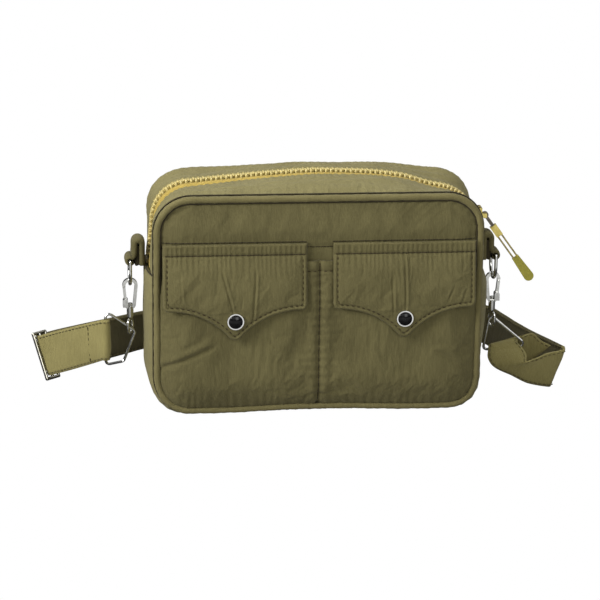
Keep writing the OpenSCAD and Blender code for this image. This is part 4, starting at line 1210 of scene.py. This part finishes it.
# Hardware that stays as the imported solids

def dress_nodes():
    for name, node in nodes.items():
        node.data.materials.clear()
        node.data.materials.append(NODE_MATERIALS.get(name, NICKEL))
        node.data.polygons.foreach_set("use_smooth", [True] * len(node.data.polygons))
        if name in BEVELLED:
            edge = node.modifiers.new("soft_edges", "BEVEL")
            edge.width = 0.35 * MM
            edge.segments = 2
            edge.limit_method = "ANGLE"
            edge.angle_limit = math.radians(40)
        node.modifiers.new("flat_faces", "WEIGHTED_NORMAL")


# The strap slider takes the darker copy of the nickel: painted shade.
NODE_MATERIALS = {
    "zip_slider": GOLD, "zip_pull_clasp": GOLD, "zip_pull_wires": GOLD, "zip_stops": RESIN,
    "zip_pull_link": DARK_METAL, "zip_pull_tag": RUBBER, "snap_cap_left": ENAMEL, "snap_cap_right": ENAMEL,
    "strap_slider": NICKEL_PAINTED_SHADE, "snap_rim_left": BRIGHT_RIM, "snap_rim_right": BRIGHT_RIM,
}
BEVELLED = (
    "left_hook", "right_hook", "left_gate", "right_gate",
    "zip_slider", "zip_pull_clasp", "zip_pull_tag", "snap_rim_left", "snap_rim_right",
)


# Stage

def by_ray(tree, kind, usual, special):
    """One shader for a kind of ray and another for the rest."""
    path = add(tree, "ShaderNodeLightPath")
    pick = add(tree, "ShaderNodeMixShader")
    tree.links.new(path.outputs[kind], pick.inputs[0])
    tree.links.new(usual, pick.inputs[1])
    tree.links.new(special, pick.inputs[2])
    return pick.outputs[0]


def white_where_seen(name, colour):
    """A plain surface that lights and is lit as usual, that the camera sees as white, and that glossy rays
    see as a painted glow growing towards the front, for the metal to mirror.
    """
    material, tree, shader = new_material(name)
    shader.inputs["Base Color"].default_value = (*colour, 1)
    shader.inputs["Roughness"].default_value = 0.9
    glow = add(tree, "ShaderNodeEmission", Color=(1, 1, 1, 1), Strength=1.0)
    # Painted reflection: what glossy rays see of the floor is a glow that grows towards the front.
    dim = add(tree, "ShaderNodeEmission", Color=(1, 1, 1, 1))
    place = add(tree, "ShaderNodeTexCoord")
    parts = add(tree, "ShaderNodeSeparateXYZ")
    reach = add(tree, "ShaderNodeMapRange")
    for key, value in (("From Min", -0.10), ("From Max", -0.28), ("To Min", 0.06), ("To Max", 0.85)):
        reach.inputs[key].default_value = value
    tree.links.new(place.outputs["Object"], parts.inputs[0])
    tree.links.new(parts.outputs["Y"], reach.inputs["Value"])
    tree.links.new(reach.outputs["Result"], dim.inputs["Strength"])
    shiny = by_ray(tree, "Is Glossy Ray", shader.outputs[0], dim.outputs[0])
    pick = by_ray(tree, "Is Camera Ray", shiny, glow.outputs[0])
    tree.links.new(pick, tree.nodes["Material Output"].inputs["Surface"])
    return material


def white_floor():
    size = 4000
    corners = [(-size, -size, 0), (size, -size, 0), (size, size, 0), (-size, size, 0)]
    white = white_where_seen("floor_white", (0.4, 0.4, 0.4))
    floor = make_object("floor", corners, [(0, 1, 2, 3)], white)
    floor.location.z = -0.0004


def studio_world():
    """White to the camera, weak light on cloth, and bands of light and dark for the metal to mirror."""
    world = bpy.data.worlds.new("studio")
    bpy.context.scene.world = world
    world.use_nodes = True
    tree = world.node_tree
    back = tree.nodes["Background"]
    back.inputs["Color"].default_value = (1, 1, 1, 1)
    back.inputs["Strength"].default_value = 0.16
    seen = add(tree, "ShaderNodeBackground", Color=(1, 1, 1, 1), Strength=1.0)
    dim = add(tree, "ShaderNodeBackground", Strength=1.0)
    place = add(tree, "ShaderNodeTexCoord")
    parts = add(tree, "ShaderNodeSeparateXYZ")
    tree.links.new(place.outputs["Generated"], parts.inputs[0])
    bands = ramp(tree, parts.outputs["Z"], [(0.0, (0.05,) * 3), (0.28, (0.07,) * 3), (0.36, (1.3,) * 3),
                                            (0.66, (1.3,) * 3), (0.74, (0.12,) * 3), (1.0, (0.6,) * 3)])
    tree.links.new(bands, dim.inputs["Color"])
    shiny = by_ray(tree, "Is Glossy Ray", back.outputs[0], dim.outputs[0])
    pick = by_ray(tree, "Is Camera Ray", shiny, seen.outputs[0])
    tree.links.new(pick, tree.nodes["World Output"].inputs["Surface"])


def lamp(name, place, size, power):
    data = bpy.data.lights.new(name, "AREA")
    data.energy = power
    data.size = size
    obj = bpy.data.objects.new(name, data)
    obj.location = place
    obj.rotation_euler = (Vector((0, 0, 0.08)) - Vector(place)).to_track_quat("-Z", "Y").to_euler()
    bpy.context.scene.collection.objects.link(obj)


CAMERA_AZIMUTH = -6.4
CAMERA_ELEVATION = 17.0
CAMERA_ROLL = 0.8
CAMERA_DISTANCE = 1.778
CAMERA_TARGET = Vector((-0.0089, 0, 0.0712))
CAMERA_LENS = 150.0


def camera():
    data = bpy.data.cameras.new("camera")
    data.lens = CAMERA_LENS
    data.sensor_width = 36.0
    obj = bpy.data.objects.new("camera", data)
    a, e = math.radians(CAMERA_AZIMUTH), math.radians(CAMERA_ELEVATION)
    away = Vector((math.sin(a) * math.cos(e), -math.cos(a) * math.cos(e), math.sin(e)))
    obj.location = CAMERA_TARGET + away * CAMERA_DISTANCE
    obj.rotation_euler = (-away).to_track_quat("-Z", "Y").to_euler()
    obj.rotation_euler.rotate_axis("Z", math.radians(CAMERA_ROLL))
    bpy.context.scene.collection.objects.link(obj)
    bpy.context.scene.camera = obj


def main():
    bpy.context.scene.view_settings.view_transform = "Standard"
    camera()
    white_floor()
    studio_world()
    lamp("key", (-1.45, -0.75, 1.0), 0.8, 42.0)
    lamp("top", (0.05, 0.2, 1.8), 1.1, 25.0)
    lamp("fill", (0.5, -1.6, 0.8), 0.9, 13.0)
    dress_nodes()
    lower_gusset()
    zip_all()
    front_seams(front_panel())
    back_panel()
    pocket_stitches(pocket_panel())
    for side in (-1, 1):
        flap_stitches(side, flap(side))
        tab(side)
    piping("piping_front", -PIPING_Y, "front_piping")
    piping("piping_back", PIPING_Y, "back_piping")
    lining()
    strap()


main()
